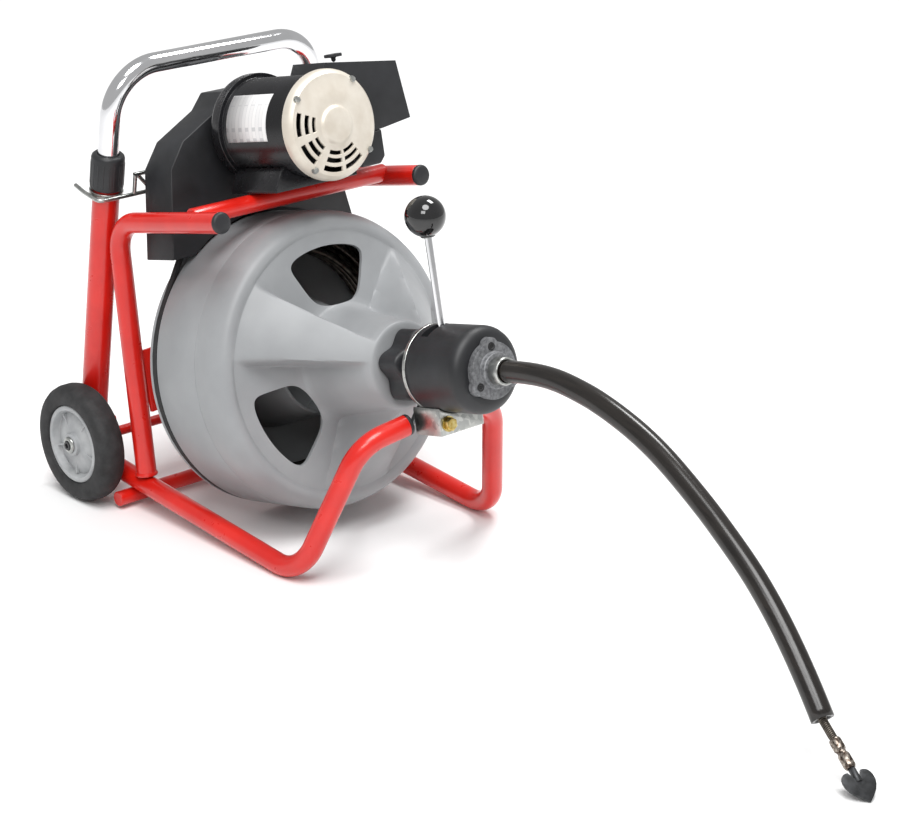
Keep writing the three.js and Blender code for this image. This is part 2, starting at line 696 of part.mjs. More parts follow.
function motorBase() {
  const low = CRADLE_TOP - 4;
  const shape = new THREE.Shape();
  shape.moveTo(-62, low);
  shape.lineTo(62, low);
  shape.lineTo(62, low + 5);
  shape.lineTo(50, low + 24);
  const seat = around(BODY_R, 36);
  const end = Math.acos(44 / seat);
  shape.absarc(0, MOTOR_H, seat, -end, -Math.PI + end, true);
  shape.lineTo(-50, low + 24);
  shape.lineTo(-62, low + 5);
  return slab(shape, 296, MOTOR_BACK - 27, 14);
}

function beltGuard() {
  const half = [[140, 150], [122, 257], [98, 287], [40, 316], [22, 335]];
  const mirrored = half.map(([x, h]) => [-x, h]).reverse();
  const outline = (grow) => polygon([...half, ...mirrored].map(([x, h]) => [
    x - Math.sign(x) * grow, h < MOTOR_H / 2 + 20 ? h - 5 * grow : h - grow,
  ]));
  const body = slab(outline(0), GUARD_FRONT, GUARD_BACK);
  const inside = slab(outline(GUARD_WALL), GUARD_FRONT + GUARD_WALL, GUARD_BACK - GUARD_WALL);
  const drumRoom = disc(DRUM_R + 3, GUARD_FRONT - 5, GUARD_BACK - GUARD_WALL - 1, 40);
  const shaftRoom = disc(PULLEY_R + 8, GUARD_FRONT - 5, GUARD_FRONT + 10, 20).translate(0, 0, MOTOR_H);
  return cut(body, inside, drumRoom, shaftRoom);
}

const BOX_FRONT = 285;
function controlBox() {
  const shape = polygon([[30, 356], [138, 342], [148, 271], [104, 265.5], [52, 262], [16, 330]]);
  const body = slab(shape, BOX_FRONT, BOX_FRONT + 62);
  return cut(body, disc(around(BODY_R, 48), BOX_FRONT - 5, BOX_FRONT + 70, 48).translate(0, 0, MOTOR_H));
}

function capacitorCover() {
  const shape = polygon([[63, 224], [93, 224], [101, 232], [101, 265], [63, 261.8]]);
  const body = slab(shape, BOX_FRONT, BOX_FRONT + 90);
  return cut(body, disc(around(BODY_R, 48), BOX_FRONT - 5, BOX_FRONT + 95, 48).translate(0, 0, MOTOR_H));
}

// A rocking switch: a ball pivot just above the box, and a wide grip on it.
const SWITCH_BALL = 3;
const SWITCH_AT = [58, BOX_FRONT + 18, 352.6 + SWITCH_BALL + GAP];
function directionSwitch() {
  const ball = revolve([[0, -3], [2.1, -2.1], [3, 0], [3, 1.8], [4.5, 4], [0, 4]], 10);
  const grip = box(-9.5, 9.5, -6, 6, SWITCH_BALL, SWITCH_BALL + 4);
  return join(aboutZ(ball), grip).translate(SWITCH_AT[0], SWITCH_AT[1], SWITCH_AT[2]);
}

function cordGland() {
  const outline = [[0, 0], [9, 0], [9, 8], [6.5, 22], [4, 22], [4, 6], [0, 6]];
  return revolve(outline, 12).translate(112, BOX_FRONT + 62 + GAP, 306);
}

function motorAndDrive() {
  put(tilted, "motor_crossbar", crossbar(), redPaint);
  put(tilted, "motor_base", motorBase(), blackEnamel);
  put(tilted, "motor_body", motorBody(), blackEnamel);
  put(tilted, "motor_end_bell", motorEndBell(), creamEnamel);
  put(tilted, "motor_rotor", motorRotor(), steel);
  put(tilted, "motor_fan", motorFan(), blackPlastic);
  put(tilted, "motor_pulley", motorPulley(), steel);
  put(tilted, "drive_belt", driveBelt(), rubber);
  put(tilted, "belt_guard", beltGuard(), blackPlastic);
  put(tilted, "control_box", controlBox(), blackPlastic);
  put(tilted, "capacitor_cover", capacitorCover(), blackPlastic);
  put(tilted, "direction_switch", directionSwitch(), blackPlastic);
  put(tilted, "cord_gland", cordGland(), rubber);
}

// ---------------------------------------------------------------- feed unit on the nose
function feedHousing() {
  const outline = [
    [12, FEED_FRONT], [FEED_R - 11, FEED_FRONT], [FEED_R - 3, FEED_FRONT + 5], [FEED_R, FEED_FRONT + 12],
    [FEED_R, FEED_BACK], [CAVITY_R, FEED_BACK], [CAVITY_R, FEED_FRONT + 12], [12, FEED_FRONT + 12],
  ];
  const swing = THREE.MathUtils.degToRad(33);
  const slot = new THREE.Shape();
  slot.absarc(0, 0, FEED_R + 4, Math.PI / 2 - swing, Math.PI / 2 + swing, false);
  slot.absarc(0, 0, CAVITY_R - 4, Math.PI / 2 + swing, Math.PI / 2 - swing, true);
  slot.closePath();
  return cut(revolve(outline, 32), slab(slot, LEVER_S - LEVER_R - 1.5, LEVER_S + LEVER_R + 1.5, 6));
}

// A spool that turns in the housing and holds the three feed rollers between its end discs.
const CARRIER_R = CAVITY_R - 1.5;
const CARRIER_FRONT = FEED_BACK - 66;
const CARRIER_BACK = FEED_BACK - 4;
function rollerCarrier() {
  const spool = disc(CARRIER_R, CARRIER_FRONT, CARRIER_BACK, 20, 24);
  const ends = [CARRIER_FRONT, CARRIER_BACK - 6].map((front) => disc(CARRIER_R - 4, front, front + 6, 16, CABLE_R + 3));
  const holes = rollerPlaces().map(([x, h]) => disc(around(3, 8, RUNNING), CARRIER_FRONT - 4, CARRIER_BACK + 4, 8).translate(x, 0, h));
  const socket = aboutZ(disc(around(LEVER_R, 10), 28, CARRIER_R + 2, 10)).translate(0, LEVER_S, 0);
  return cut(join(spool, ...ends), ...holes, socket);
}

function feedLever() {
  return aboutZ(disc(LEVER_R, 28 + GAP, LEVER_TOP, 10)).translate(0, LEVER_S, 0);
}

function rollerPlaces() {
  return [90, 210, 330].map((degrees) => {
    const angle = THREE.MathUtils.degToRad(degrees);
    return [ROLLER_RING * Math.cos(angle), ROLLER_RING * Math.sin(angle)];
  });
}

function feedRoller([x, h]) {
  const front = CARRIER_FRONT + 1;
  const back = CARRIER_BACK - 1;
  const outline = [
    [0, front], [3, front], [3, front + 7], [ROLLER_R, front + 7], [ROLLER_R, back - 7], [3, back - 7], [3, back], [0, back],
  ];
  return revolve(outline, 12).translate(x, 0, h);
}

function leverKnob() {
  const ball = new THREE.SphereGeometry(BALL_R, 16, 12).translate(0, LEVER_S, BALL_H);
  const hole = aboutZ(disc(around(LEVER_R, 10), BALL_H - BALL_R - 2, LEVER_TOP + GAP, 10));
  return cut(ball, hole.translate(0, LEVER_S, 0));
}

function feedFlange() {
  const plate = disc(33, FLANGE_FRONT, FEED_FRONT - GAP, 24);
  const boss = disc(21, FLANGE_FRONT - 6, FLANGE_FRONT + 2, 20);
  const bore = disc(12, FLANGE_FRONT - 8, FEED_FRONT + 2, 20);
  const ears = [90, 210, 330].map((degrees) => {
    const angle = THREE.MathUtils.degToRad(degrees);
    return [28 * Math.cos(angle), 28 * Math.sin(angle)];
  });
  const lugs = ears.map(([x, h]) => disc(10.5, FLANGE_FRONT, FEED_FRONT - GAP, 12).translate(x, 0, h));
  const holes = ears.map(([x, h]) => disc(3.4, FLANGE_FRONT - 8, FEED_FRONT + 2, 8).translate(x, 0, h));
  return cut(join(plate, boss, ...lugs), bore, ...holes);
}

function hoseNut() {
  const back = FLANGE_FRONT - 6 - GAP;
  const bore = around(HOSE_R, 20);
  const outline = [[bore, NUT_FRONT], [NUT_R - 1.5, NUT_FRONT], [NUT_R, NUT_FRONT + 2], [NUT_R, back], [bore, back]];
  return revolve(outline, 20);
}

function feedUnit() {
  put(tilted, "nose_bracket", noseBracket(), zinc);
  put(tilted, "feed_housing", feedHousing(), blackPlastic);
  put(tilted, "feed_back_plate", disc(FEED_R, FEED_BACK + GAP, FEED_BACK + 5, 32, 12), zinc);
  put(tilted, "roller_carrier", rollerCarrier(), steel);
  put(tilted, "feed_lever", feedLever(), chrome);
  put(tilted, "lever_knob", leverKnob(), glossBlack);
  rollerPlaces().forEach((place, i) => put(tilted, `feed_roller_${i + 1}`, feedRoller(place), steel));
  put(tilted, "feed_flange", feedFlange(), castGrey);
  put(tilted, "hose_nut", hoseNut(), zinc);
}

// ---------------------------------------------------------------- guide hose and what comes out of it
const HOSE_ROUTE = [
  [0, -322, 277.7], [0, -342, 282.1], [0, -365, 286.4], [0, -388, 289], [0, -411, 289.5], [-1, -435, 288],
  [-1, -459, 285], [-2, -482, 280.8], [-2, -504, 275], [-3, -529, 267.8], [-4, -551, 260], [-5, -574, 250],
  [-6.5, -597, 238.5], [-8, -620, 225.8], [-10, -646, 211.3], [-13, -671, 196.6], [-16, -698, 179.8],
  [-19, -722, 163.8], [-23.5, -749, 143.5], [-28, -774, 122.3], [-34, -802, 96.5], [-40, -827, 71.8],
  [-44.5, -843.5, 54.5],
];
const CABLE_SHOWN = 20; // cable between the hose's end and the coupling
const TIP_START = new THREE.Vector3(-49.8, -863.6, 41.9);
const TIP_ALONG = new THREE.Vector3(-0.19, -0.83, -0.53).normalize();

// Y runs along the cutter's axis away from the hose, X lies level.
const tip = new THREE.Group();
tip.position.copy(TIP_START);
const tipSide = new THREE.Vector3(0, 0, 1).cross(TIP_ALONG).negate().normalize();
tip.quaternion.setFromRotationMatrix(
  new THREE.Matrix4().makeBasis(tipSide, TIP_ALONG, tipSide.clone().cross(TIP_ALONG)),
);
machine.add(tip);

const COUPLING_LENGTH = 36;
function cableCoupling() {
  const outline = [
    [0, 0], [5.5, 0], [6.5, 2], [6.5, 13], [5, 15], [5, 18], [6.5, 20], [6.5, 33], [5, COUPLING_LENGTH],
    [0, COUPLING_LENGTH],
  ];
  return revolve(outline, 12);
}

function spadeCutter() {
  const blade = new THREE.Shape();
  blade.moveTo(0, 36);
  blade.quadraticCurveTo(20, 22, 18.5, 9);
  blade.quadraticCurveTo(17, -1, 8, 0);
  blade.lineTo(3.6, 8);
  blade.lineTo(-3.6, 8);
  blade.lineTo(-8, 0);
  blade.quadraticCurveTo(-17, -1, -18.5, 9);
  blade.quadraticCurveTo(-20, 22, 0, 36);
  const plate = new THREE.ExtrudeGeometry(blade, { depth: 3, bevelEnabled: false, curveSegments: 5 });
  plate.translate(0, 4, -1.5);
  const shank = disc(4, 0, 16, 12);
  return join(plate, shank).translate(0, COUPLING_LENGTH + GAP, 0);
}

function hoseAndCutter() {
  put(machine, "guide_hose", rope(HOSE_ROUTE, HOSE_R, 12, 26), rubber);
  put(tip, "cable_end", disc(CABLE_R, -CABLE_SHOWN, -GAP, 12), steel);
  put(tip, "cable_coupling", cableCoupling(), steel);
  put(tip, "spade_cutter", spadeCutter(), castGrey);
}

frameTubes();
put(machine, "rear_foot_bar", rearFootBar(), redPaint);
put(tilted, "drum_support_plate", drumSupportPlate(), redPaint);
wheels();
handle();
drum();
motorAndDrive();
feedUnit();
hoseAndCutter();

export default machine;
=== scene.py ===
"""A drum machine for clearing drains: what it looks like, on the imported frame.

Sizes are in millimetres while a piece is made, and metres once it is placed.
Three places are used: the machine's own (x, y, z), the tilted unit's (x, s, h), where s runs back
along the drum's axis from the hose exit and h stands square to it, and the posts' (x, y, up).
"""
import math
from functools import cache

import bmesh
import bpy
from mathutils import Matrix, Vector


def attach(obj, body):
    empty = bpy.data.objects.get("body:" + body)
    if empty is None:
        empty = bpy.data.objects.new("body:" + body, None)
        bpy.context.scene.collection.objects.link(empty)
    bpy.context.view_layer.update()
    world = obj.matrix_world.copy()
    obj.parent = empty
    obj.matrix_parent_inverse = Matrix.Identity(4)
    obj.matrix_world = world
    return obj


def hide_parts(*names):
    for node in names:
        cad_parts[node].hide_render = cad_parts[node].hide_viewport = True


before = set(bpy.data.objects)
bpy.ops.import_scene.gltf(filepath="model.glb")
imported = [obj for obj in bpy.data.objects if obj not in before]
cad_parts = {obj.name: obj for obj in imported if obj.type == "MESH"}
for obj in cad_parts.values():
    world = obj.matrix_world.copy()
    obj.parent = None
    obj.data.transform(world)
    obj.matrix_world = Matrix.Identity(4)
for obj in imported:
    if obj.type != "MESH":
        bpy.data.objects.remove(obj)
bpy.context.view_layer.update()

TILT = math.radians(12.5)  # nose-up pitch of drum, rails and motor
AXLE_Y = 253
AXLE_Z = 75
POST_LEAN = math.radians(9.4)
NOSE = (0, -328, 279)
POST_Y = 279.55
MACHINE = Matrix.Scale(0.001, 4)
TILTED = MACHINE @ Matrix.Translation(NOSE) @ Matrix.Rotation(-TILT, 4, "X")
POSTS = MACHINE @ Matrix.Translation((0, POST_Y, AXLE_Z)) @ Matrix.Rotation(POST_LEAN, 4, "X")
UPRIGHT = Matrix.Rotation(math.radians(90), 4, "X")  # the s axis stood up
HALF_TURN = Matrix.Rotation(math.pi, 4, "Z")
SIDES = (("right", -1), ("left", 1))

SIDE_X = 153  # middle plane to the side tubes and posts
TUBE_R = 12.7
TUBE_WALL = 2
POST_R = 16.7
POST_FOOT = 38
POST_TOP = 436
HANDLE_FOOT = 92
HANDLE_TOP = 553
LEG_R = 12.9  # handle leg, inside the post
COLLAR_WALL_R = 17.2
HOOP_S = 503  # the hoop's corner, where it turns forward into the rail
RAIL_FRONT = 290
RAIL_H = 198.6
WHEEL_X = 188.7
MOTOR_R = 66
MOTOR_H = 286
CROSSBAR_R = 11
DISH_R = (52, 158)  # the dished part of the drum's face
WINDOW_OUT = 112  # the windows' middles, out from the axis
HOUSING_R = 51
FLANGE_R = 33
EAR_OUT = 28
CABLE_R = 4.7
LEVER_S = 106
ARMS = (30, 150, 270)  # degrees of the drum's raised arms
WINDOWS = (90, 210, 330)  # and of its windows
EARS = (90, 210, 330)  # degrees of the flange's bolt ears


# ------------------------------------------------------------------ camera and light
def studio_camera():
    camera = bpy.data.objects.new("camera", bpy.data.cameras.new("camera"))
    camera.location = (-1.9759, -2.4387, 1.3189)
    camera.rotation_euler = (math.radians(69.28), 0, math.radians(-41.8))
    camera.data.sensor_width = 36
    camera.data.lens = 109.44
    bpy.context.scene.collection.objects.link(camera)
    bpy.context.scene.camera = camera


def softbox(name, place, aim, width, power):
    lamp = bpy.data.lights.new(name, "AREA")
    lamp.shape = "RECTANGLE"
    lamp.size = width
    lamp.size_y = width * 0.7
    lamp.energy = power
    holder = bpy.data.objects.new(name, lamp)
    holder.location = place
    holder.rotation_euler = (Vector(aim) - Vector(place)).to_track_quat("-Z", "Y").to_euler()
    bpy.context.scene.collection.objects.link(holder)


def studio():
    scene = bpy.context.scene
    scene.view_settings.view_transform = "Standard"
    world = bpy.data.worlds.new("studio air")
    world.use_nodes = True
    world.node_tree.nodes["Background"].inputs["Color"].default_value = linear("#ffffff")
    world.node_tree.nodes["Background"].inputs["Strength"].default_value = 0.5
    scene.world = world
    sky_panel = bpy.data.lights.new("sky panel", "SUN")
    sky_panel.energy = 2.1
    sky_panel.angle = math.radians(32)
    holder = bpy.data.objects.new("sky panel", sky_panel)
    holder.rotation_euler = Vector((0.25, 0.35, -1)).to_track_quat("-Z", "Y").to_euler()
    scene.collection.objects.link(holder)
    softbox("strip light", (1.0, -0.1, 2.3), (0, -0.5, 0.2), 0.8, 26)
    softbox("key light", (-1.7, -1.4, 2.0), (0, 0, 0.3), 1.0, 16)
    bm = bmesh.new()
    bmesh.ops.create_grid(bm, x_segments=1, y_segments=1, size=12)
    mesh = bpy.data.meshes.new("studio floor")
    bm.to_mesh(mesh)
    bm.free()
    floor = bpy.data.objects.new("studio_floor", mesh)
    mesh.materials.append(studio_paper())
    scene.collection.objects.link(floor)


# ------------------------------------------------------------------ colours and nodes
def linear(hex_colour):
    """A four-value linear colour from an sRGB hex one."""
    parts = [int(hex_colour[i:i + 2], 16) / 255 for i in (1, 3, 5)]
    return (*[c / 12.92 if c <= 0.04045 else ((c + 0.055) / 1.055) ** 2.4 for c in parts], 1.0)


def add(tree, kind, sockets=None, **settings):
    """A node with its settings, and its sockets' values or links."""
    made = tree.nodes.new(kind)
    for name, value in settings.items():
        setattr(made, name, value)
    for name, value in (sockets or {}).items():
        if isinstance(value, bpy.types.NodeSocket):
            tree.links.new(value, made.inputs[name])
        else:
            made.inputs[name].default_value = value
    return made


def blank_material(name):
    """A material with one shader and the object's own coordinates in millimetres."""
    material = bpy.data.materials.new(name)
    material.use_nodes = True
    tree = material.node_tree
    shader = tree.nodes["Principled BSDF"]
    place = add(tree, "ShaderNodeTexCoord").outputs["Object"]
    scaled = add(tree, "ShaderNodeMapping", {"Vector": place, "Scale": (1000, 1000, 1000)})
    return material, tree, shader, scaled.outputs["Vector"]


def shade(tree, shader, value, dark, light, low=0.35, high=0.65):
    """The base colour runs from dark to light as value rises."""
    ramp = add(tree, "ShaderNodeValToRGB", {"Fac": value})
    ramp.color_ramp.elements[0].position = low
    ramp.color_ramp.elements[0].color = linear(dark)
    ramp.color_ramp.elements[1].position = high
    ramp.color_ramp.elements[1].color = linear(light)
    tree.links.new(ramp.outputs["Color"], shader.inputs["Base Color"])


def gloss(tree, shader, value, low, high):
    spread = add(tree, "ShaderNodeMapRange", {"Value": value, "To Min": low, "To Max": high})
    tree.links.new(spread.outputs["Result"], shader.inputs["Roughness"])


def relief(tree, shader, value, depth_mm, strength):
    bump = add(tree, "ShaderNodeBump", {"Height": value, "Distance": depth_mm / 1000, "Strength": strength})
    tree.links.new(bump.outputs["Normal"], shader.inputs["Normal"])


def noise(tree, place, size_mm, detail=3.0, roughness=0.55):
    sockets = {"Vector": place, "Scale": 1 / size_mm, "Detail": detail, "Roughness": roughness}
    return add(tree, "ShaderNodeTexNoise", sockets).outputs["Fac"]


def finish(name, tone_mm, tones, shine_mm, shine, grain=None, metallic=0, coat=None, detail=3.0):
    """A material whose tone and roughness drift, each over its own number of millimetres.

    grain is (size in mm, detail, depth in mm, strength), and coat is (weight, roughness).
    """
    material, tree, shader, place = blank_material(name)
    shade(tree, shader, noise(tree, place, tone_mm, detail), *tones)
    gloss(tree, shader, noise(tree, place, shine_mm), *shine)
    if grain:
        size, grain_detail, depth, strength = grain
        relief(tree, shader, noise(tree, place, size, grain_detail), depth, strength)
    shader.inputs["Metallic"].default_value = metallic
    if coat:
        shader.inputs["Coat Weight"].default_value = coat[0]
        shader.inputs["Coat Roughness"].default_value = coat[1]
    return material


# ------------------------------------------------------------------ finishes
@cache
def studio_paper():
    """Seamless background paper: pale, matt and even."""
    material, tree, shader, place = blank_material("seamless background paper")
    shade(tree, shader, noise(tree, place, 900), "#f3f3f3", "#f6f6f6")
    shader.inputs["Roughness"].default_value = 0.9
    return material


@cache
def powder_coat():
    """Red powder coat on steel tube: glossy, with a faint orange peel about a millimetre across."""
    return finish("red powder coat on steel", 60, ("#c9180f", "#d92014"), 25, (0.24, 0.34),
                  (1.1, 1.0, 0.03, 0.5), coat=(0.35, 0.12))


@cache
def polished_chrome():
    """Chrome plate on drawn tube: a clear mirror with the lightest handling haze."""
    return finish("polished chrome plate", 80, ("#dcdddf", "#ececee"), 30, (0.06, 0.13), metallic=1)


@cache
def zinc_plate():
    """Bright zinc plate: patches of slightly different grey, as its crystals give."""
    material, tree, shader, place = blank_material("bright zinc plate")
    patches = add(tree, "ShaderNodeTexVoronoi", {"Vector": place, "Scale": 1 / 6, "Randomness": 0.9})
    shade(tree, shader, patches.outputs["Color"], "#9ea09e", "#c3c4c0", 0.1, 0.9)
    gloss(tree, shader, noise(tree, place, 9), 0.24, 0.4)
    shader.inputs["Metallic"].default_value = 1
    return material


@cache
def yellow_zinc():
    """Yellow passivated zinc on a bolt: straw gold that drifts between darker and paler."""
    return finish("yellow passivated zinc", 5, ("#b99a4a", "#dac98a"), 4, (0.22, 0.38), metallic=1)


@cache
def turned_steel():
    """Lathe-turned steel: bright, with a fine tooled grain."""
    return finish("lathe-turned steel", 14, ("#84868a", "#a9abae"), 3, (0.22, 0.42),
                  (0.8, 1.0, 0.01, 0.4), metallic=1)


@cache
def browned_steel_painted_highlights():
    """Oil-browned steel of the coupling: brown, with pale patches painted in as highlights."""
    # the dark end of this tone ramp is the steel's real brown; the pale end is painted highlight
    return finish("oil-browned steel with painted highlights", 3.5, ("#4d4038", "#b3aaa0", 0.4, 0.62), 2.5, (0.2, 0.42),
                  metallic=1, detail=4.0)


@cache
def oiled_spring_steel():
    """Wound spring steel under a film of oil: brown-grey, shinier in patches."""
    return finish("oiled spring steel", 7, ("#3f3a36", "#716a62"), 5, (0.26, 0.48), metallic=0.9)


@cache
def drum_polyethylene():
    """Rotationally moulded polyethylene: mid grey, a fine grain, slow pale drifts in the colour."""
    material, tree, shader, place = blank_material("moulded grey polyethylene")
    drift = noise(tree, place, 110, 4.0, 0.5)
    shade(tree, shader, drift, "#8b8d8f", "#9a9c9e")
    gloss(tree, shader, noise(tree, place, 40), 0.36, 0.5)
    relief(tree, shader, noise(tree, place, 1.4, 2.0), 0.05, 0.35)
    return material


@cache
def black_abs():
    """Moulded black ABS with a spark-eroded grain: satin, breaks up the light."""
    return finish("textured black ABS", 50, ("#1b1c1e", "#26272a"), 18, (0.38, 0.52),
                  (0.9, 2.0, 0.05, 0.45))


@cache
def black_enamel():
    """Sprayed black enamel on rolled steel: semi-gloss, nearly smooth."""
    return finish("semi-gloss black enamel", 60, ("#121214", "#1b1b1e"), 25, (0.2, 0.34),
                  (1.6, 1.0, 0.02, 0.3))


@cache
def cream_enamel():
    """Warm silver enamel on a die-cast end bell: soft shine with a trace of the casting under it."""
    return finish("warm silver enamel", 30, ("#cfc6b8", "#ddd6ca"), 12, (0.32, 0.45),
                  (2.2, 2.0, 0.06, 0.35), metallic=0.25)


@cache
def printed_label():
    """A blank printed foil label: near white, with rows of pale grey boxes and no lettering."""
    material, tree, shader, place = blank_material("blank foil label")
    turned_place = add(tree, "ShaderNodeMapping", {"Vector": place, "Rotation": (TILT, 0, 0)})
    rows = add(tree, "ShaderNodeTexBrick", {
        "Vector": turned_place.outputs["Vector"], "Color1": linear("#e4e3e2"), "Color2": linear("#d9d8d8"),
        "Mortar": linear("#c2c2c3"), "Scale": 0.045, "Mortar Size": 0.012, "Brick Width": 0.9,
        "Row Height": 0.3})
    tree.links.new(rows.outputs["Color"], shader.inputs["Base Color"])
    shader.inputs["Roughness"].default_value = 0.35
    return material


@cache
def grey_nylon():
    """Moulded grey nylon of the wheel hubs: pale and satin, with a fine grain."""
    return finish("moulded grey nylon", 22, ("#989a9c", "#adafb0"), 12, (0.36, 0.5), (1.2, 2.0, 0.04, 0.3))


@cache
def tyre_rubber():
    """Solid tyre rubber: charcoal and matt, with greyer patches."""
    return finish("solid tyre rubber", 16, ("#1d1d1e", "#2f2f30"), 9, (0.62, 0.82),
                  (1.0, 3.0, 0.08, 0.5), detail=5.0)


@cache
def belt_rubber():
    """Neoprene belt and gland rubber: dull black with a fine grain."""
    return finish("neoprene rubber", 12, ("#131314", "#202021"), 5, (0.6, 0.78), (0.7, 2.0, 0.06, 0.5))


@cache
def polished_phenolic():
    """Polished black phenolic of the ball knob: deep black with a sharp highlight."""
    return finish("polished black phenolic", 14, ("#0b0b0c", "#121213"), 10, (0.05, 0.11), coat=(0.6, 0.03))


@cache
def cast_iron():
    """Sand-cast iron under a thin grey wash: dull, pitted every couple of millimetres."""
    return finish("sand-cast iron", 4, ("#626366", "#8b8c8e"), 4, (0.42, 0.6),
                  (1.5, 4.0, 0.25, 0.6), metallic=0.5, detail=5.0)


@cache
def forged_blade():
    """Heat-treated blade steel: blue-grey scale, darker in patches."""
    return finish("heat-treated blade steel", 9, ("#3a3b3c", "#4e4f51"), 3, (0.36, 0.5),
                  (0.8, 2.0, 0.05, 0.5), metallic=0.8, detail=4.0)


@cache
def hose_rubber():
    """Extruded rubber hose: brown-black, semi-gloss, with long faint draw marks."""
    material, tree, shader, place = blank_material("extruded hose rubber")
    drawn = add(tree, "ShaderNodeMapping", {"Vector": place, "Scale": (1, 0.04, 0.1)})
    shade(tree, shader, noise(tree, drawn.outputs["Vector"], 2.4), "#171412", "#25211e")
    gloss(tree, shader, noise(tree, place, 14), 0.16, 0.26)
    relief(tree, shader, noise(tree, drawn.outputs["Vector"], 1.2, 2.0), 0.04, 0.4)
    return material


# ------------------------------------------------------------------ shaping
def ring_of(bm, outline):
    """The edges of a closed outline of (radius, s) points, in the plane that the spin starts from."""
    corners = [bm.verts.new((radius, s, 0)) for radius, s in outline]
    return corners + [bm.edges.new(pair) for pair in zip(corners, corners[1:] + corners[:1])]


def turn_round(bm, geometry, steps, angle=2 * math.pi, cent=(0, 0, 0), axis=(0, 1, 0)):
    return bmesh.ops.spin(
        bm, geom=geometry, cent=cent, axis=axis, dvec=(0, 0, 0), angle=angle, steps=steps,
        use_merge=angle == 2 * math.pi, use_normal_flip=False, use_duplicate=False)


def tidy(bm):
    """Doubles merged, slivers removed and faces turned outwards."""
    bmesh.ops.remove_doubles(bm, verts=bm.verts[:], dist=0.001)
    bmesh.ops.dissolve_degenerate(bm, dist=0.0005, edges=bm.edges[:])
    bmesh.ops.recalc_face_normals(bm, faces=bm.faces[:])
    return bm


def open_skin(outline, steps):
    """A round skin, open at both ends of its outline."""
    bm = bmesh.new()
    corners = [bm.verts.new((radius, s, 0)) for radius, s in outline]
    turn_round(bm, corners + [bm.edges.new(pair) for pair in zip(corners, corners[1:])], steps)
    return tidy(bm)


def turned(outline, steps, bm=None, shift=(0, 0, 0), turn=None):
    """A round piece about the s axis, from a closed outline of (radius, s) points."""
    made = bmesh.new()
    turn_round(made, ring_of(made, outline), steps)
    tidy(made)
    if turn:
        bmesh.ops.transform(made, matrix=turn, verts=made.verts[:])
    bmesh.ops.translate(made, vec=shift, verts=made.verts[:])
    return merged(bm, made)


def merged(bm, made):
    """made's mesh added to bm, or made itself when there is no bm yet."""
    if bm is None:
        return made
    scratch = bpy.data.meshes.new("scratch")
    made.to_mesh(scratch)
    made.free()
    bm.from_mesh(scratch)
    bpy.data.meshes.remove(scratch)
    return bm


def drawn_out(bm, edges, along):
    """The edges pulled along by a vector, and the new edges at the far end."""
    if along.length < 1e-6:
        return edges
    made = bmesh.ops.extrude_edge_only(bm, edges=edges)["geom"]
    bmesh.ops.translate(bm, vec=along, verts=[g for g in made if isinstance(g, bmesh.types.BMVert)])
    return [g for g in made if isinstance(g, bmesh.types.BMEdge) and is_rim(g)]


def is_rim(edge):
    return len(edge.link_faces) == 1


def bent_tube(corners, bend, radius, sides=40, steps=16, ends="open", bm=None):
    """A tube along straight runs and bends, from its corner points."""
    made = bmesh.new()
    points = [Vector(corner) for corner in corners]
    facing = (points[1] - points[0]).to_track_quat("Z", "Y").to_matrix().to_4x4()
    start = Matrix.Translation(points[0]) @ facing
    ring = bmesh.ops.create_circle(made, cap_ends=False, radius=radius, segments=sides, matrix=start)
    first = list({edge for vert in ring["verts"] for edge in vert.link_edges})
    edges = first
    here = points[0]
    for before, corner, after in zip(points, points[1:], points[2:]):
        inward = (corner - before).normalized()
        outward = (after - corner).normalized()
        turn = inward.angle(outward)
        setback = bend * math.tan(turn / 2)
        edges = drawn_out(made, edges, corner - inward * setback - here)
        side = (outward - inward * inward.dot(outward)).normalized()
        centre = corner - inward * setback + side * bend
        spun = turn_round(made, edges, steps, turn, centre, inward.cross(side))
        edges = [g for g in spun["geom_last"] if isinstance(g, bmesh.types.BMEdge)]
        here = corner + outward * setback
    last = drawn_out(made, edges, points[-1] - here)
    if ends == "closed":
        bmesh.ops.holes_fill(made, edges=first, sides=0)
        bmesh.ops.holes_fill(made, edges=last, sides=0)
    bmesh.ops.recalc_face_normals(made, faces=made.faces[:])
    return merged(bm, made)


def blocks_round(bm, count, first, radius, size, s=0):
    """Rectangular blocks set round the s axis, the first of them at an angle in degrees."""
    for i in range(count):
        made = bmesh.new()
        turn = Matrix.Rotation(math.radians(360 / count * i + first), 4, "Y")
        place = Matrix.Translation((0, s, 0)) @ turn @ Matrix.Translation((radius, 0, 0))
        bmesh.ops.create_cube(made, size=1, matrix=place @ Matrix.Diagonal((*size, 1)))
        merged(bm, made)


def hexagon_head(across, height, centre, bm=None):
    """A hexagon bolt head or nut about the s axis, its face towards -s, with a chamfered top."""
    made = bmesh.new()
    corner = across / 1.732  # from the middle to a corner
    bmesh.ops.create_cone(
        made, cap_ends=True, cap_tris=False, segments=6, radius1=corner, radius2=corner, depth=height,
        matrix=UPRIGHT)
    sharp = [e for e in made.edges if e.calc_face_angle(0) > math.radians(30)]
    bmesh.ops.bevel(
        made, geom=sharp, offset=0.6, offset_type="OFFSET", segments=2, profile=0.5, affect="EDGES",
        clamp_overlap=True, material=-1)
    for radius, s, end in ((across * 0.44, -height / 2, -height / 2 - 0.5),
                           (across * 0.66, height / 2, height / 2 + 1.2)):
        turned([(0.01, s), (radius, s), (radius, end), (0.01, end)], 24, made)
    bmesh.ops.translate(made, vec=centre, verts=made.verts[:])
    return merged(bm, made)


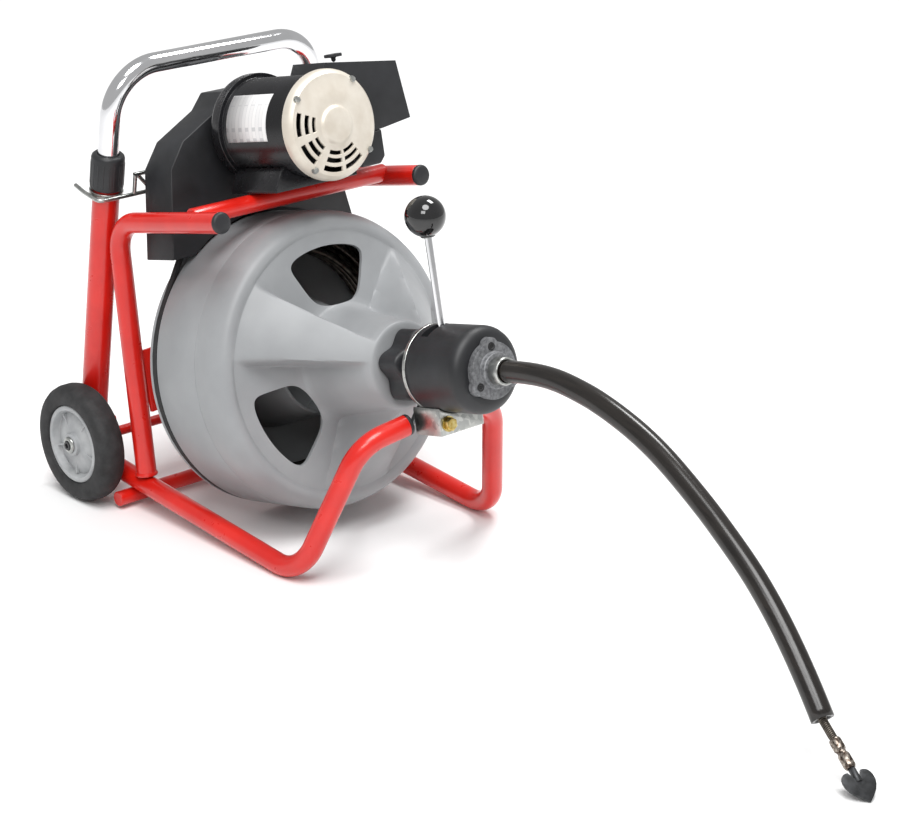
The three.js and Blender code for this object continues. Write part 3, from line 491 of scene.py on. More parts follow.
def piece(name, bm, place, material, body, stands_for=(), wall=0, edge=0, segments=3, sharp=35):
    """The shaped mesh as a piece of the machine, with its wall and its softened edges."""
    bmesh.ops.transform(bm, matrix=place, verts=bm.verts[:])
    mesh = bpy.data.meshes.new(name)
    bm.to_mesh(mesh)
    bm.free()
    mesh.shade_smooth()
    mesh.materials.append(material)
    made = bpy.data.objects.new(name, mesh)
    bpy.context.scene.collection.objects.link(made)
    if wall:
        thick = made.modifiers.new("wall", "SOLIDIFY")
        thick.thickness = wall / 1000
        thick.offset = -1
        thick.use_even_offset = True
    if edge:
        soft = made.modifiers.new("softened edges", "BEVEL")
        soft.width = edge / 1000
        soft.segments = segments
        soft.profile = 0.5
        soft.limit_method = "ANGLE"
        soft.angle_limit = math.radians(sharp)
        soft.harden_normals = True
    else:
        mesh.set_sharp_from_angle(angle=math.radians(sharp))
    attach(made, body)
    if stands_for:
        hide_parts(*([stands_for] if isinstance(stands_for, str) else stands_for))
    return made


def refined(node, material, body, edge=1.0, segments=3):
    """A copy of a flat-sided CAD node with its triangles joined into faces and its edges softened."""
    bm = bmesh.new()
    bm.from_mesh(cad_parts[node].data)
    bmesh.ops.remove_doubles(bm, verts=bm.verts[:], dist=1e-6)
    bmesh.ops.dissolve_limit(bm, angle_limit=math.radians(2), use_dissolve_boundaries=False,
                             verts=bm.verts[:], edges=bm.edges[:])
    return piece(node + "_finished", bm, Matrix.Identity(4), material, body, node,
                 edge=edge, segments=segments)


def carried(material, *nodes):
    """CAD nodes that are shown as they are, with their real finish."""
    for node in nodes:
        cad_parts[node].data.materials.clear()
        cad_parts[node].data.materials.append(material)


# ------------------------------------------------------------------ the frame
BASE_REAR_Y = 225
BASE_SLOPE = math.tan(math.radians(4.7))
FOOT_Y = -136
JOINT_Y = 164  # where the hoop stands on the base tube
JOINT_Z = 34
KNEE = (103, -190, 176)
ARM_END = (42, -199, 188)


def base_height(y):
    return JOINT_Z + (y - JOINT_Y) * BASE_SLOPE


def from_tilted(x, s, h):
    return MACHINE.inverted() @ TILTED @ Vector((x, s, h))


def post_height(z):
    return (z - AXLE_Z) / math.cos(POST_LEAN)


def base_tube(word, side, paint):
    corners = [(side * SIDE_X, BASE_REAR_Y, base_height(BASE_REAR_Y)),
               (side * SIDE_X, FOOT_Y, base_height(FOOT_Y)), (side * KNEE[0], KNEE[1], KNEE[2]),
               (side * ARM_END[0], ARM_END[1], ARM_END[2])]
    bm = bent_tube(corners, 52, TUBE_R)
    piece(f"{word}_base_tube_finished", bm, MACHINE, paint, "frame", f"{word}_base_tube",
          wall=TUBE_WALL, edge=0.3, segments=2)


def hoop_tube(word, side, paint):
    corner = from_tilted(side * SIDE_X, HOOP_S, RAIL_H)
    lean = Vector((0, corner.y - JOINT_Y, corner.z - JOINT_Z)).normalized()
    skew = lean.angle(Vector((0, -BASE_SLOPE, 1)))
    lift = (TUBE_R + 0.3 + TUBE_R * math.sin(skew)) / math.cos(skew)
    foot = (side * SIDE_X, JOINT_Y + lean.y * lift, JOINT_Z + lean.z * lift)
    bm = bent_tube([foot, corner, from_tilted(side * SIDE_X, RAIL_FRONT, RAIL_H)], 42, TUBE_R)
    piece(f"{word}_hoop_tube_finished", bm, MACHINE, paint, "frame", f"{word}_hoop_tube",
          wall=TUBE_WALL, edge=0.3, segments=2)
    weld = turned([(12.2, -2.4), (13.6, -2), (14.2, 0), (13.5, 2), (12.2, 2.8)], 48)
    facing = lean.to_track_quat("Y", "Z").to_matrix().to_4x4()
    lay = Matrix.Translation((side * SIDE_X, foot[1], foot[2] - 1)) @ facing
    piece(f"{word}_hoop_weld", weld, MACHINE @ lay, paint, "frame")


def caps(plastic):
    """Moulded plugs in the tubes' ends, each with a domed head."""
    outline = [(0.01, -7), (9.8, -7), (10.2, 0.3), (12.7, 0.3), (12.9, 1.5), (12.6, 3.4), (11.4, 4.9),
               (9, 5.7), (0.01, 6)]
    for word, side in SIDES:
        lay = Matrix.Translation((side * SIDE_X, RAIL_FRONT, RAIL_H)) @ HALF_TURN
        piece(f"{word}_rail_plug", turned(outline, 48), TILTED @ lay, plastic, "frame", f"{word}_rail_cap")
        inward = Vector((side * (ARM_END[0] - KNEE[0]), ARM_END[1] - KNEE[1], ARM_END[2] - KNEE[2]))
        turn = inward.to_track_quat("Y", "Z").to_matrix().to_4x4()
        lay = Matrix.Translation((side * ARM_END[0], ARM_END[1], ARM_END[2])) @ turn
        piece(f"{word}_arm_plug", turned(outline, 48), MACHINE @ lay, plastic, "frame", f"{word}_arm_cap")


def post_tube(word, side, paint):
    ends = [(side * SIDE_X, 0, post_height(z)) for z in (POST_FOOT, POST_TOP)]
    bm = bent_tube(ends, 10, POST_R, 48)
    piece(f"{word}_post_finished", bm, POSTS, paint, "frame", f"{word}_post",
          wall=3.4, edge=0.5, segments=2)


def cross_pieces(paint):
    y, bar_r = 192, 9.5
    height = base_height(y) - TUBE_R - bar_r - 0.6
    bar = bent_tube([(-180, y, height), (180, y, height)], 10, bar_r, 36, ends="closed")
    piece("foot_bar_finished", bar, MACHINE, paint, "frame", "rear_foot_bar", edge=1.2)
    height = MOTOR_H - MOTOR_R - CROSSBAR_R - 5.3
    rod = bent_tube([(-148, 353, height), (148, 353, height)], 10, CROSSBAR_R, 36, ends="closed")
    piece("motor_crossbar_finished", rod, TILTED, paint, "frame", "motor_crossbar",
          edge=1.5)
    for word, _ in SIDES:
        refined(f"{word}_axle_bracket", paint, "frame", 1.2)
    refined("drum_support_plate", paint, "frame", 1.5)


def build_frame():
    paint = powder_coat()
    for word, side in SIDES:
        base_tube(word, side, paint)
        hoop_tube(word, side, paint)
        post_tube(word, side, paint)
    cross_pieces(paint)
    caps(black_abs())
    refined("nose_bracket", zinc_plate(), "frame", 1.4)
    bolt = hexagon_head(14, 6, (-21, 89.6, -61))
    piece("nose_bolt", bolt, TILTED, yellow_zinc(), "frame")


# ------------------------------------------------------------------ wheels
def about_x(bm, side=1):
    """A round piece laid along x, its far end towards the given side."""
    bmesh.ops.transform(bm, matrix=Matrix.Rotation(math.radians(-90), 4, "Z"), verts=bm.verts[:])
    if side < 0:
        bmesh.ops.transform(bm, matrix=HALF_TURN, verts=bm.verts[:])
    return bm


def on_axle(x=0):
    return MACHINE @ Matrix.Translation((x, AXLE_Y, AXLE_Z))


def tyre(word, side, rubber):
    outline = [(50, -14.5), (51.4, -16.6), (54, -17.6), (60, -18), (66, -17.6), (70.6, -15.2), (73.4, -11),
               (75, -5), (75, 5), (73.4, 11), (70.6, 15.2), (66, 17.6), (60, 18), (54, 17.6), (51.4, 16.6),
               (50, 14.5)]
    piece(f"{word}_tyre_finished", about_x(turned(outline, 128)), on_axle(side * WHEEL_X), rubber,
          f"{word}_wheel", f"{word}_tyre", edge=0.5, segments=2)


def wheel_hub(word, side, nylon):
    """A moulded hub: a bright rim, a groove, a dished web and a raised boss, the same on both faces."""
    half = [(6.9, 17.4), (8, 18), (12.6, 18), (14, 17.2), (15, 12.5), (17.5, 11), (24, 10.4), (32, 8.6),
            (38.6, 6.2), (40.2, 5.2), (41.4, 6.4), (42.8, 13.6), (44, 15.2), (47.6, 15.4), (49.2, 14.6),
            (49.7, 13.4)]
    rim = turned(half + [(radius, -s) for radius, s in reversed(half)], 96)
    blocks_round(rim, 5, 18, 28, (25, 21.4, 2.2))
    piece(f"{word}_hub_finished", about_x(rim), on_axle(side * WHEEL_X), nylon, f"{word}_wheel",
          f"{word}_wheel_hub", edge=0.7, segments=2)


def axle_clip(word, side, zinc):
    cap = turned([(6.6, 0.5), (10.2, 0.5), (10.6, 1), (10.2, 2.2), (8.6, 3.2), (6.6, 3.4)], 48)
    piece(f"{word}_axle_clip", about_x(cap, side), on_axle(side * 206.7), zinc, "frame", f"{word}_axle_nut")


def build_wheels():
    rubber = tyre_rubber()
    nylon = grey_nylon()
    zinc = zinc_plate()
    for word, side in SIDES:
        tyre(word, side, rubber)
        wheel_hub(word, side, nylon)
        axle_clip(word, side, zinc)
    axle = turned([(6.35, -168), (6.35, 168), (0.01, 168), (0.01, -168)], 40)
    piece("axle_finished", about_x(axle), on_axle(), powder_coat(), "frame", "axle")
    outline = [(0.01, 168.2), (6.3, 168.2), (6.3, 210.6), (5.4, 211.6), (3.2, 211.6), (2.6, 209.6),
               (0.01, 209.2)]
    for word, side in SIDES:
        piece(f"{word}_axle_end", about_x(turned(outline, 40), side), on_axle(), black_enamel(), "frame")


# ------------------------------------------------------------------ handle
def build_handle():
    low, high = post_height(HANDLE_FOOT), post_height(HANDLE_TOP)
    corners = [(-SIDE_X, 0, low), (-SIDE_X, 0, high), (SIDE_X, 0, high), (SIDE_X, 0, low)]
    loop = bent_tube(corners, 60, LEG_R, 48, 28)
    piece("handle_loop_finished", loop, POSTS, polished_chrome(), "handle", "handle_loop",
          wall=1.8, edge=0.3, segments=2)
    low = post_height(POST_TOP) - 32
    for word, side in SIDES:
        outline = [(COLLAR_WALL_R, low), (19, low), (20.3, low + 1.4), (20.5, low + 3), (20.5, low + 40),
                   (19.6, low + 42.6), (17.4, low + 44.6), (15.6, low + 45), (13.4, low + 45),
                   (13.4, low + 32.4), (COLLAR_WALL_R, low + 32.4)]
        collar = turned(outline, 72)
        blocks_round(collar, 18, 0, 20.1, (1.6, 30, 2.6), low + 20)
        bmesh.ops.transform(collar, matrix=UPRIGHT, verts=collar.verts[:])
        piece(f"{word}_collar_finished", collar, POSTS @ Matrix.Translation((side * SIDE_X, 0, 0)),
              black_abs(), f"{word}_collar", f"{word}_handle_collar", edge=0.6, segments=2)
    cord_rack(zinc_plate(), post_height(POST_TOP) - 38)


def cord_rack(zinc, low):
    """A rack of bent wire round the posts: a lower rail with hooked ends, an upper one and four stays."""
    wire = 2.6
    forward = -(POST_R + wire + 1.2)
    out = SIDE_X + POST_R + wire + 5
    lower = [(-out + 3, 34, low), (-out, 12, low), (-out, forward, low), (out, forward, low), (out, 12, low),
             (out - 3, 34, low)]
    rack = bent_tube(lower, 8, wire, 20, 8, "closed")
    bent_tube([(-128, forward, low + 26), (128, forward, low + 26)], 8, wire, 20, 8, "closed", rack)
    for side in (-1, 1):
        bent_tube([(side * 126, forward, low), (side * 126, forward, low + 26)], 8, wire, 20, 8, "closed",
                  rack)
        bent_tube([(side * 100, forward, low), (side * 124, forward, low + 26)], 8, wire, 20, 8, "closed",
                  rack)
        band = turned([(COLLAR_WALL_R, -2), (20.6, -2), (20.9, -1.6), (20.9, 3.6), (20.6, 4),
                       (COLLAR_WALL_R, 4)], 64)
        bmesh.ops.transform(band, matrix=UPRIGHT, verts=band.verts[:])
        bmesh.ops.translate(band, vec=(side * SIDE_X, 0, low), verts=band.verts[:])
        merged(rack, band)
    piece("cord_rack_finished", rack, POSTS, zinc, "frame", "cord_rack")


# ------------------------------------------------------------------ drum
def smooth_step(value):
    held = min(max(value, 0), 1)
    return held * held * (3 - 2 * held)


def between(pairs, at):
    """The value at a place along a list of (place, value) pairs."""
    for (a, low), (b, high) in zip(pairs, pairs[1:]):
        if at <= b:
            return low + (high - low) * (at - a) / (b - a)
    return pairs[-1][1]


# The face of the drum between its arms and on them: (radius, s).
SHALLOW = [(52, 185), (55, 208), (59, 240), (63, 266), (67, 281), (71, 288), (76, 290.4), (150, 304.5),
           (158, 306)]
RAISED = [(52, 185), (148, 295), (153, 299.8), (158, 304.6)]


def drum_face_depth(radius, angle):
    """How far back the face of the drum lies: a shallow dish with three raised arms."""
    nearest = min(abs((math.degrees(angle) - arm + 180) % 360 - 180) for arm in ARMS)
    outside = math.radians(nearest - 17.5) * radius
    arm = 1 - smooth_step((outside + 4) / 10)
    return between(SHALLOW, radius) * (1 - arm) + between(RAISED, radius) * arm


def window_reach(x, h):
    """Below 1 inside the nearest drum window, and 1 on its edge, with the point's place in that window."""
    angle = math.degrees(math.atan2(h, x))
    middle = min(WINDOWS, key=lambda m: abs((angle - m + 180) % 360 - 180))
    out = Vector((math.cos(math.radians(middle)), math.sin(math.radians(middle))))
    centre = out * WINDOW_OUT
    away = Vector((x, h)) - centre
    u, v = away.dot(out), abs(away.dot(Vector((-out.y, out.x))))
    outer = max(math.hypot(x, h) - WINDOW_OUT, 0) / 29
    sides = (outer, max(-u, 0) / 41, max(0.908 * v - 0.42 * u, 0) / 46.5)
    return sum(side ** 6 for side in sides) ** (1 / 6), centre


def drum_front(plastic):
    """The front shell: a flat ring dished between its arms, and windows cut through it."""
    flat = 300
    rows = [52 + 1.6 * i for i in range(14)] + [74.4 + 3.2 * i for i in range(1, 27)] + [158]
    outline = [(21, 182), (44, 182), (48, 182.3), (50.6, 183.2)] + [(r, flat) for r in rows]
    outline += [(160, 304.4), (164, 304.2), (168, 305), (171.5, 307.4), (174.8, 311.4), (178, 318),
                (180.4, 325), (181.5, 334), (181.5, 351.4)]
    bm = open_skin(outline, 320)
    for vert in bm.verts:
        radius = math.hypot(vert.co.x, vert.co.z)
        if DISH_R[0] - 0.1 < radius < DISH_R[1] + 0.1 and abs(vert.co.y - flat) < 0.01:
            vert.co.y = drum_face_depth(radius, math.atan2(vert.co.z, vert.co.x))
    inside = [f for f in bm.faces if window_reach(*f.calc_center_median().xz)[0] < 1]
    bmesh.ops.delete(bm, geom=inside, context="FACES")
    rim = [v for v in bm.verts if v.is_boundary and 60 < math.hypot(v.co.x, v.co.z) < 170]
    for vert in rim:
        reach, centre = window_reach(vert.co.x, vert.co.z)
        moved = centre + (vert.co.xz - centre) / reach
        reach, centre = window_reach(*moved)
        moved = centre + (moved - centre) / reach
        vert.co.x, vert.co.z = moved
        vert.co.y = drum_face_depth(moved.length, math.atan2(moved.y, moved.x))
    face_forward(bm)
    piece("drum_front_finished", bm, TILTED, plastic, "drum", "drum_front_shell",
          wall=4, edge=1.1, segments=3, sharp=50)


def face_forward(bm):
    """Faces turned so that the skin's foremost one looks to the nose."""
    bmesh.ops.recalc_face_normals(bm, faces=bm.faces[:])
    near = min(bm.faces, key=lambda f: f.calc_center_median().y)
    if near.normal.dot(-near.calc_center_median()) < 0:
        bmesh.ops.reverse_faces(bm, faces=bm.faces[:])


def drum_rear(plastic):
    outline = [(177.5, 352.6), (177.9, 352), (181.1, 352), (181.5, 352.6), (181.5, 429.6), (180.9, 430.6),
               (175.7, 431.8), (175.7, 440.2), (180.4, 441.4), (181, 442.4), (180.8, 445), (179, 447),
               (23, 447), (23, 443), (171.7, 443), (171.7, 428), (177.5, 426)]
    bm = turned(outline, 192)
    blocks_round(bm, 12, 15, 104, (126, 3.2, 5), 448.2)
    piece("drum_rear_finished", bm, TILTED, plastic, "drum", "drum_rear_shell", edge=0.6,
          segments=2)


def wound_cable():
    """Turns of cable lying side by side in the drum."""
    coil = bmesh.new()
    for layer in range(4):
        for row in range(3):
            ring = bmesh.new()
            s = 396.8 + row * 9.6 + layer % 2 * 4.8
            made = bmesh.ops.create_circle(ring, cap_ends=False, radius=CABLE_R, segments=14)
            bmesh.ops.translate(ring, vec=(136.6 + layer * 8.6, s, 0), verts=made["verts"])
            turn_round(ring, ring.verts[:] + ring.edges[:], 96)
            tidy(ring)
            merged(coil, ring)
    return coil


def build_drum():
    plastic = drum_polyethylene()
    spring = oiled_spring_steel()
    drum_front(plastic)
    drum_rear(plastic)
    cup = turned([(30, 438.7), (82, 438.7), (82, 437), (62, 341), (62.6, 340), (65.4, 340), (66, 341),
                  (88, 441), (88, 442.7), (30, 442.7)], 128)
    piece("inner_drum_finished", cup, TILTED, plastic, "drum", "inner_drum", edge=0.6,
          segments=2)
    coil = wound_cable()
    lead = [(0, 10, 0), (0, 306, 0), (128, 322, 74), (128, 400, 74)]
    bent_tube(lead, 24, CABLE_R, 16, 12, "closed", coil)
    piece("cable_coil_finished", coil, TILTED, spring, "drum", "cable_coil")
    steel = turned_steel()
    outline = [(0.01, 433), (21, 433), (21.7, 434), (21.7, 447.3), (36, 447.3), (36, 453.3), (35.3, 454),
               (10, 454), (10, 531), (9, 532), (0.01, 532)]
    shaft = turned(outline, 72)
    piece("drum_shaft_finished", shaft, TILTED, steel, "drum", "drum_shaft")
    bearing = turned([(10.6, 512), (19.4, 512), (20, 512.6), (20, 525.4), (19.4, 526), (16, 526),
                      (15.4, 525), (13, 525), (12.4, 526), (10.6, 526)], 64)
    piece("drum_bearing_finished", bearing, TILTED, steel, "frame", "drum_bearing")
    hub_knob(black_abs())


def hub_knob(plastic):
    """A five-lobed hand knob with a round nose, on the drum's hub."""
    bm = bmesh.new()
    made = bmesh.ops.create_circle(bm, cap_ends=False, radius=38.5, segments=160)
    for vert in made["verts"]:
        angle = math.atan2(vert.co.y, vert.co.x)
        radius = 38.2 + 5.3 * math.cos(5 * (angle - math.pi / 2))
        vert.co = (radius * math.cos(angle), 179.6, radius * math.sin(angle))
    edges = bm.edges[:]
    for along, shrink in ((-26, 1), (-2.6, 0.985), (-1.8, 0.95), (-0.9, 0.9), (-0.2, 0.84)):
        made = bmesh.ops.extrude_edge_only(bm, edges=edges)["geom"]
        verts = [g for g in made if isinstance(g, bmesh.types.BMVert)]
        bmesh.ops.translate(bm, vec=(0, along, 0), verts=verts)
        bmesh.ops.scale(bm, vec=(shrink, 1, shrink), verts=verts)
        edges = [g for g in made if isinstance(g, bmesh.types.BMEdge) and is_rim(g)]
    bmesh.ops.holes_fill(bm, edges=[e for e in bm.edges if is_rim(e)], sides=0)
    bmesh.ops.recalc_face_normals(bm, faces=bm.faces[:])
    turned([(7.8, 141.5), (20, 141.5), (24, 142.2), (26, 144.6), (26, 181.7), (7.8, 181.7)], 72, bm)
    piece("hub_knob_finished", bm, TILTED, plastic, "knob", "hub_knob", edge=1.2, segments=3)


# ------------------------------------------------------------------ motor and belt drive
def on_motor(bm):
    bmesh.ops.translate(bm, vec=(0, 0, MOTOR_H), verts=bm.verts[:])
    return bm


def end_bell(cream):
    """A die-cast bell with three rings of cooling slots and a round bearing boss."""
    rows = [24, 27, 30.5, 33, 35.5, 39.5, 42.2, 45, 49.5, 52.5, 55.5, 58, 60]
    outline = [(0.01, 238), (14, 238), (19, 238.3), (21.2, 239.2), (22.4, 241.4)]
    outline += [(r, 242.4 + 4.6 * smooth_step((r - 30) / 30)) for r in rows]
    outline += [(61.6, 248.6), (63.8, 250.6), (65.2, 253), (65.8, 256), (65.8, 261.6)]
    bm = open_skin(outline, 120)
    bands = ((30.5, 35.5), (39.5, 45), (49.5, 55.5))
    slots = []
    for face in bm.faces:
        middle = face.calc_center_median()
        radius = math.hypot(middle.x, middle.z)
        angle = math.degrees(math.atan2(middle.z, middle.x)) % 360
        in_band = any(low < radius < high for low, high in bands)
        if in_band and any(abs(angle - centre) < 15 for centre in (171, 211.5, 258, 294)):
            slots.append(face)
    bmesh.ops.delete(bm, geom=slots, context="FACES")
    face_forward(bm)
    piece("end_bell_finished", on_motor(bm), TILTED, cream, "frame", "motor_end_bell",
          wall=3.4, edge=0.7, segments=3, sharp=40)


def motor_shell(enamel):
    outline = [(56, 262.6), (56.6, 262), (59.6, 262), (60, 262.6), (60, 385), (60.6, 386), (65.4, 386),
               (66, 386.7), (66, 398), (65.2, 401.6), (61, 407.4), (56.4, 411.6), (54.6, 412), (9, 412),
               (8.6, 411.6), (8.6, 406.2), (48, 406), (56, 396)]
    bm = on_motor(turned(outline, 144))
    piece("motor_body_finished", bm, TILTED, enamel, "frame", "motor_body", edge=0.5,
          segments=2)


def rating_label(foil):
    """A blank foil label wrapped round the motor's near side."""
    bm = bmesh.new()
    start, radius = math.radians(132), 60.25
    ring = [bm.verts.new((radius * math.cos(start), s, radius * math.sin(start))) for s in (300, 378)]
    edge = bm.edges.new(ring)
    turn_round(bm, ring + [edge], 24, math.radians(56), axis=(0, -1, 0))
    bmesh.ops.recalc_face_normals(bm, faces=bm.faces[:])
    face = bm.faces[:][0]
    if face.normal.dot(Vector((face.calc_center_median().x, 0, face.calc_center_median().z))) < 0:
        bmesh.ops.reverse_faces(bm, faces=bm.faces[:])
    made = piece("motor_label", on_motor(bm), TILTED, foil, "frame")
    thick = made.modifiers.new("foil", "SOLIDIFY")
    thick.thickness = 0.0003
    thick.offset = 0


def through_bolts(zinc):
    """The motor's through-bolts, whose heads stand on the end bell's rim."""
    bm = bmesh.new()
    for angle in (math.radians(degrees) for degrees in (52, 142, 232, 322)):
        hexagon_head(6.6, 3, (60.5 * math.cos(angle), 246.2, 60.5 * math.sin(angle)), bm=bm)
    piece("motor_through_bolts", on_motor(bm), TILTED, zinc, "frame")


def build_motor():
    plastic = black_abs()
    enamel = black_enamel()
    steel = turned_steel()
    rubber = belt_rubber()
    motor_shell(enamel)
    end_bell(cream_enamel())
    rating_label(printed_label())
    through_bolts(zinc_plate())
    refined("motor_base", enamel, "frame", 1.0)
    refined("control_box", plastic, "frame", 3.5, 4)
    refined("capacitor_cover", plastic, "frame", 2.5, 4)
    refined("belt_guard", plastic, "frame", 2.2, 3)
    refined("direction_switch", plastic, "switch", 1.2, 3)
    gland = turned([(4.4, 0), (8.6, 0), (9, 0.5), (9, 7.4), (8.2, 8.2), (8.6, 9), (8.2, 10), (7.8, 11.4),
                    (8, 12.4), (7.4, 14), (7.4, 15.4), (6.8, 17.4), (6.9, 18.4), (6.3, 22), (4.4, 22)], 48)
    piece("cord_gland_finished", gland, TILTED @ Matrix.Translation((112, 347.3, 306)), rubber, "frame",
          "cord_gland")
    carried(steel, "motor_rotor")
    carried(plastic, "motor_fan")
    carried(rubber, "drive_belt")
    outline = [(8.4, 426), (22.6, 426), (23, 426.4), (23, 429.8), (18.6, 431.4), (18, 432.2), (18, 439.8),
               (18.6, 440.6), (23, 442.2), (23, 445.6), (22.6, 446), (8.4, 446)]
    piece("motor_pulley_finished", on_motor(turned(outline, 72)), TILTED, steel, "rotor", "motor_pulley")


# ------------------------------------------------------------------ feed unit
def feed_housing(plastic):
    """The round nose housing, open on top where the lever swings."""
    outline = [(12, 33.4), (12.4, 33), (38, 33), (42, 33.8), (46, 36), (49, 39.4), (50.6, 43.4)]
    outline += [(HOUSING_R, s) for s in (47, 58, 70, 84, 100, 106, 112, 117, 121.4)] + [(50.4, 122)]
    bm = open_skin(outline, 120)
    slot = []
    for face in bm.faces:
        middle = face.calc_center_median()
        angle = math.degrees(math.atan2(middle.z, middle.x))
        if 100 < middle.y < 112 and abs(angle - 90) < 33:
            slot.append(face)
    bmesh.ops.delete(bm, geom=slot, context="FACES")
    face_forward(bm)
    piece("feed_housing_finished", bm, TILTED, plastic, "frame", "feed_housing",
          wall=10.6, edge=1.0, segments=3, sharp=50)


def feed_flange(iron):
    """A cast flange with three bolt ears round a raised collar."""
    bm = bmesh.new()
    made = bmesh.ops.create_circle(bm, cap_ends=False, radius=FLANGE_R, segments=240)
    for vert in made["verts"]:
        angle = math.atan2(vert.co.y, vert.co.x)
        near = min(abs((angle - math.radians(ear) + math.pi) % (2 * math.pi) - math.pi) for ear in EARS)
        lobe = EAR_OUT * math.cos(near) + math.sqrt(max(10.4 ** 2 - (EAR_OUT * math.sin(near)) ** 2, 0))
        reach = FLANGE_R + (max(lobe - FLANGE_R, 0) if near < math.radians(21.8) else 0)
        vert.co = (reach * math.cos(angle), 32.7, reach * math.sin(angle))
    made = bmesh.ops.extrude_edge_only(bm, edges=bm.edges[:])["geom"]
    front = [g for g in made if isinstance(g, bmesh.types.BMVert)]
    bmesh.ops.translate(bm, vec=(0, -8.7, 0), verts=front)
    bmesh.ops.holes_fill(bm, edges=[e for e in bm.edges if is_rim(e)], sides=0)
    bmesh.ops.recalc_face_normals(bm, faces=bm.faces[:])
    turned([(12, 18.4), (12.4, 18), (20, 18), (21, 19), (21.4, 22.4), (23, 24.4), (23, 27), (12, 27)], 72, bm)
    piece("feed_flange_finished", bm, TILTED, iron, "frame", "feed_flange", edge=1.0, segments=3)


def flange_screws(steel, dark):
    screws = bmesh.new()
    sockets = bmesh.new()
    for degrees in EARS:
        x, h = EAR_OUT * math.cos(math.radians(degrees)), EAR_OUT * math.sin(math.radians(degrees))
        turned([(2.6, 24.4), (4.6, 24.4), (4.9, 23.6), (4.7, 23.1), (2.9, 23.1), (2.6, 23.5)], 36, screws,
               (x, 0, h))
        turned([(0.01, 23.9), (2.6, 23.9), (2.6, 24.4), (0.01, 24.4)], 6, sockets, (x, 0, h))
    piece("flange_screws", screws, TILTED, steel, "frame")
    piece("flange_screw_sockets", sockets, TILTED, dark, "frame")


def build_feed():
    zinc = zinc_plate()
    feed_housing(black_abs())
    feed_flange(cast_iron())
    flange_screws(black_enamel(), belt_rubber())
    plate = turned([(12, 122.6), (12.3, 122.3), (50.6, 122.3), (51, 122.7), (51, 126.6), (50.6, 127),
                    (12.3, 127), (12, 126.7)], 120)
    piece("feed_back_plate_finished", plate, TILTED, zinc, "frame", "feed_back_plate")
    rod = turned([(0.01, 28.3), (4, 28.3), (4.5, 28.8), (4.5, 169.6), (0.01, 170)], 40)
    piece("feed_lever_finished", rod, TILTED @ Matrix.Translation((0, LEVER_S, 0)) @ UPRIGHT,
          polished_chrome(), "lever", "feed_lever")
    ball = bmesh.new()
    bmesh.ops.create_uvsphere(ball, u_segments=64, v_segments=40, radius=24,
                              matrix=Matrix.Translation((0, LEVER_S, 177)))
    foot = turned([(4.7, 152.4), (7, 152.4), (8.4, 153.2), (10.6, 158), (4.7, 158)], 48)
    bmesh.ops.transform(foot, matrix=UPRIGHT, verts=foot.verts[:])
    bmesh.ops.translate(foot, vec=(0, LEVER_S, 0), verts=foot.verts[:])
    merged(ball, foot)
    piece("lever_knob_finished", ball, TILTED, polished_phenolic(), "lever", "lever_knob")
    carried(turned_steel(), "roller_carrier", "feed_roller_1", "feed_roller_2", "feed_roller_3")
    nut = turned([(13.2, 3.9), (13.6, 3.5), (15.2, 3.5), (16.1, 4.6), (16.3, 5.6), (16.3, 16.9), (15.9, 17.7),
                  (13.2, 17.7)], 96)
    piece("hose_nut_finished", nut, TILTED, zinc, "frame", "hose_nut")


# ------------------------------------------------------------------ hose, cable and cutter
HOSE_ROUTE = [
    (0, -322, 277.7), (0, -342, 282.1), (0, -365, 286.4), (0, -388, 289), (0, -411, 289.5), (-1, -435, 288),
    (-1, -459, 285), (-2, -482, 280.8), (-2, -504, 275), (-3, -529, 267.8), (-4, -551, 260), (-5, -574, 250),
    (-6.5, -597, 238.5), (-8, -620, 225.8), (-10, -646, 211.3), (-13, -671, 196.6), (-16, -698, 179.8),
    (-19, -722, 163.8), (-23.5, -749, 143.5), (-28, -774, 122.3), (-34, -802, 96.5), (-40, -827, 71.8),
    (-44.5, -843.5, 54.5),
]
HOSE_R = 12.7
HOSE_WALL = 3.8
TIP_START = Vector((-49.8, -863.6, 41.9))
TIP_ALONG = Vector((-0.19, -0.83, -0.53)).normalized()


def tip_place():
    side = -Vector((0, 0, 1)).cross(TIP_ALONG).normalized()
    third = side.cross(TIP_ALONG)
    turn = Matrix((side, TIP_ALONG, third)).transposed().to_4x4()
    return MACHINE @ Matrix.Translation(TIP_START) @ turn


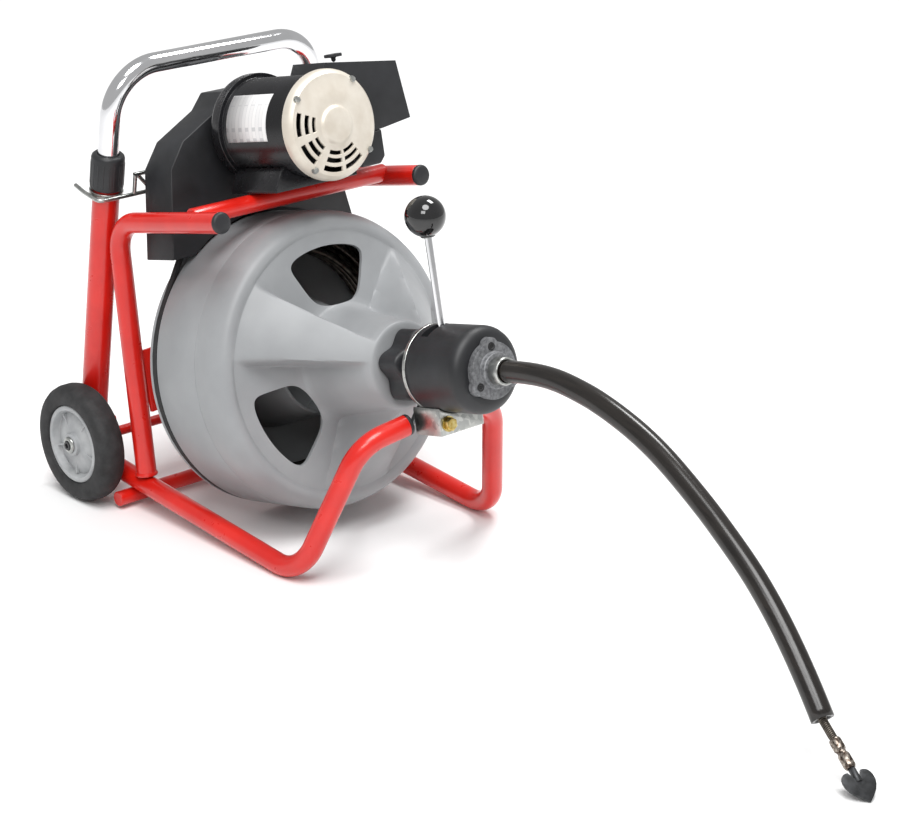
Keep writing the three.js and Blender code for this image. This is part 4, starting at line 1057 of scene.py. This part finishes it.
def guide_hose(rubber):
    """The rubber hose, tubular, whose open end shows the cable inside it."""
    curve = bpy.data.curves.new("guide_hose_finished", "CURVE")
    curve.dimensions = "3D"
    spline = curve.splines.new("NURBS")
    spline.points.add(len(HOSE_ROUTE) - 1)
    for point, place in zip(spline.points, HOSE_ROUTE):
        point.co = (*[value / 1000 for value in place], 1)
    spline.order_u = 4
    spline.use_endpoint_u = True
    curve.resolution_u = 8
    curve.bevel_depth = HOSE_R / 1000
    curve.bevel_resolution = 10
    curve.materials.append(rubber)
    hose = bpy.data.objects.new("guide_hose_finished", curve)
    bpy.context.scene.collection.objects.link(hose)
    wall = hose.modifiers.new("rubber wall", "SOLIDIFY")
    wall.thickness = HOSE_WALL / 1000
    wall.offset = -1
    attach(hose, "frame")
    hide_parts("guide_hose")
    return hose


def cable_strand(steel):
    """The cable's last length, a close-wound spring that comes out of the hose's bore."""
    bm = bmesh.new()
    start = -34
    made = bmesh.ops.create_circle(bm, cap_ends=False, radius=1.05, segments=10)
    bmesh.ops.translate(bm, vec=(3.7, start, 0), verts=made["verts"])
    turns = 16
    climb = (-start - 0.8) / (turns * 28)
    bmesh.ops.spin(bm, geom=bm.verts[:] + bm.edges[:], cent=(0, 0, 0), axis=(0, 1, 0), dvec=(0, climb, 0),
                   angle=turns * 2 * math.pi, steps=turns * 28, use_merge=False, use_normal_flip=False,
                   use_duplicate=False)
    bmesh.ops.holes_fill(bm, edges=[e for e in bm.edges if is_rim(e)], sides=0)
    tidy(bm)
    turned([(0.01, start), (3.4, start), (3.4, -0.4), (0.01, -0.4)], 24, bm)
    return piece("cable_end_finished", bm, tip_place(), steel, "frame", "cable_end")


def coupling(steel):
    outline = [(0.01, 0), (4.9, 0), (6, 0.8), (6.5, 2.4), (6.5, 12.6), (6.1, 13.6), (5.1, 15), (5, 16.5),
               (5.1, 18), (6.1, 19.4), (6.5, 20.4), (6.5, 32.4), (6.1, 34), (5, 36), (0.01, 36)]
    bm = turned(outline, 56)
    turned([(0.01, -0.6), (2.2, -0.6), (2.2, 0.6), (0.01, 0.6)], 24, bm, (0, 0, 0),
           Matrix.Translation((0, 8, 6.3)) @ UPRIGHT)
    return piece("cable_coupling_finished", bm, tip_place(), steel, "cable_tip", "cable_coupling",
                 edge=0.25, segments=2)


def build_hose():
    pieces = [cable_strand(oiled_spring_steel()), coupling(browned_steel_painted_highlights()),
              refined("spade_cutter", forged_blade(), "cable_tip", 0.6, 2)]
    hose = guide_hose(hose_rubber())


studio_camera()
build_hose()
studio()
build_frame()
build_wheels()
build_handle()
build_drum()
build_motor()
build_feed()
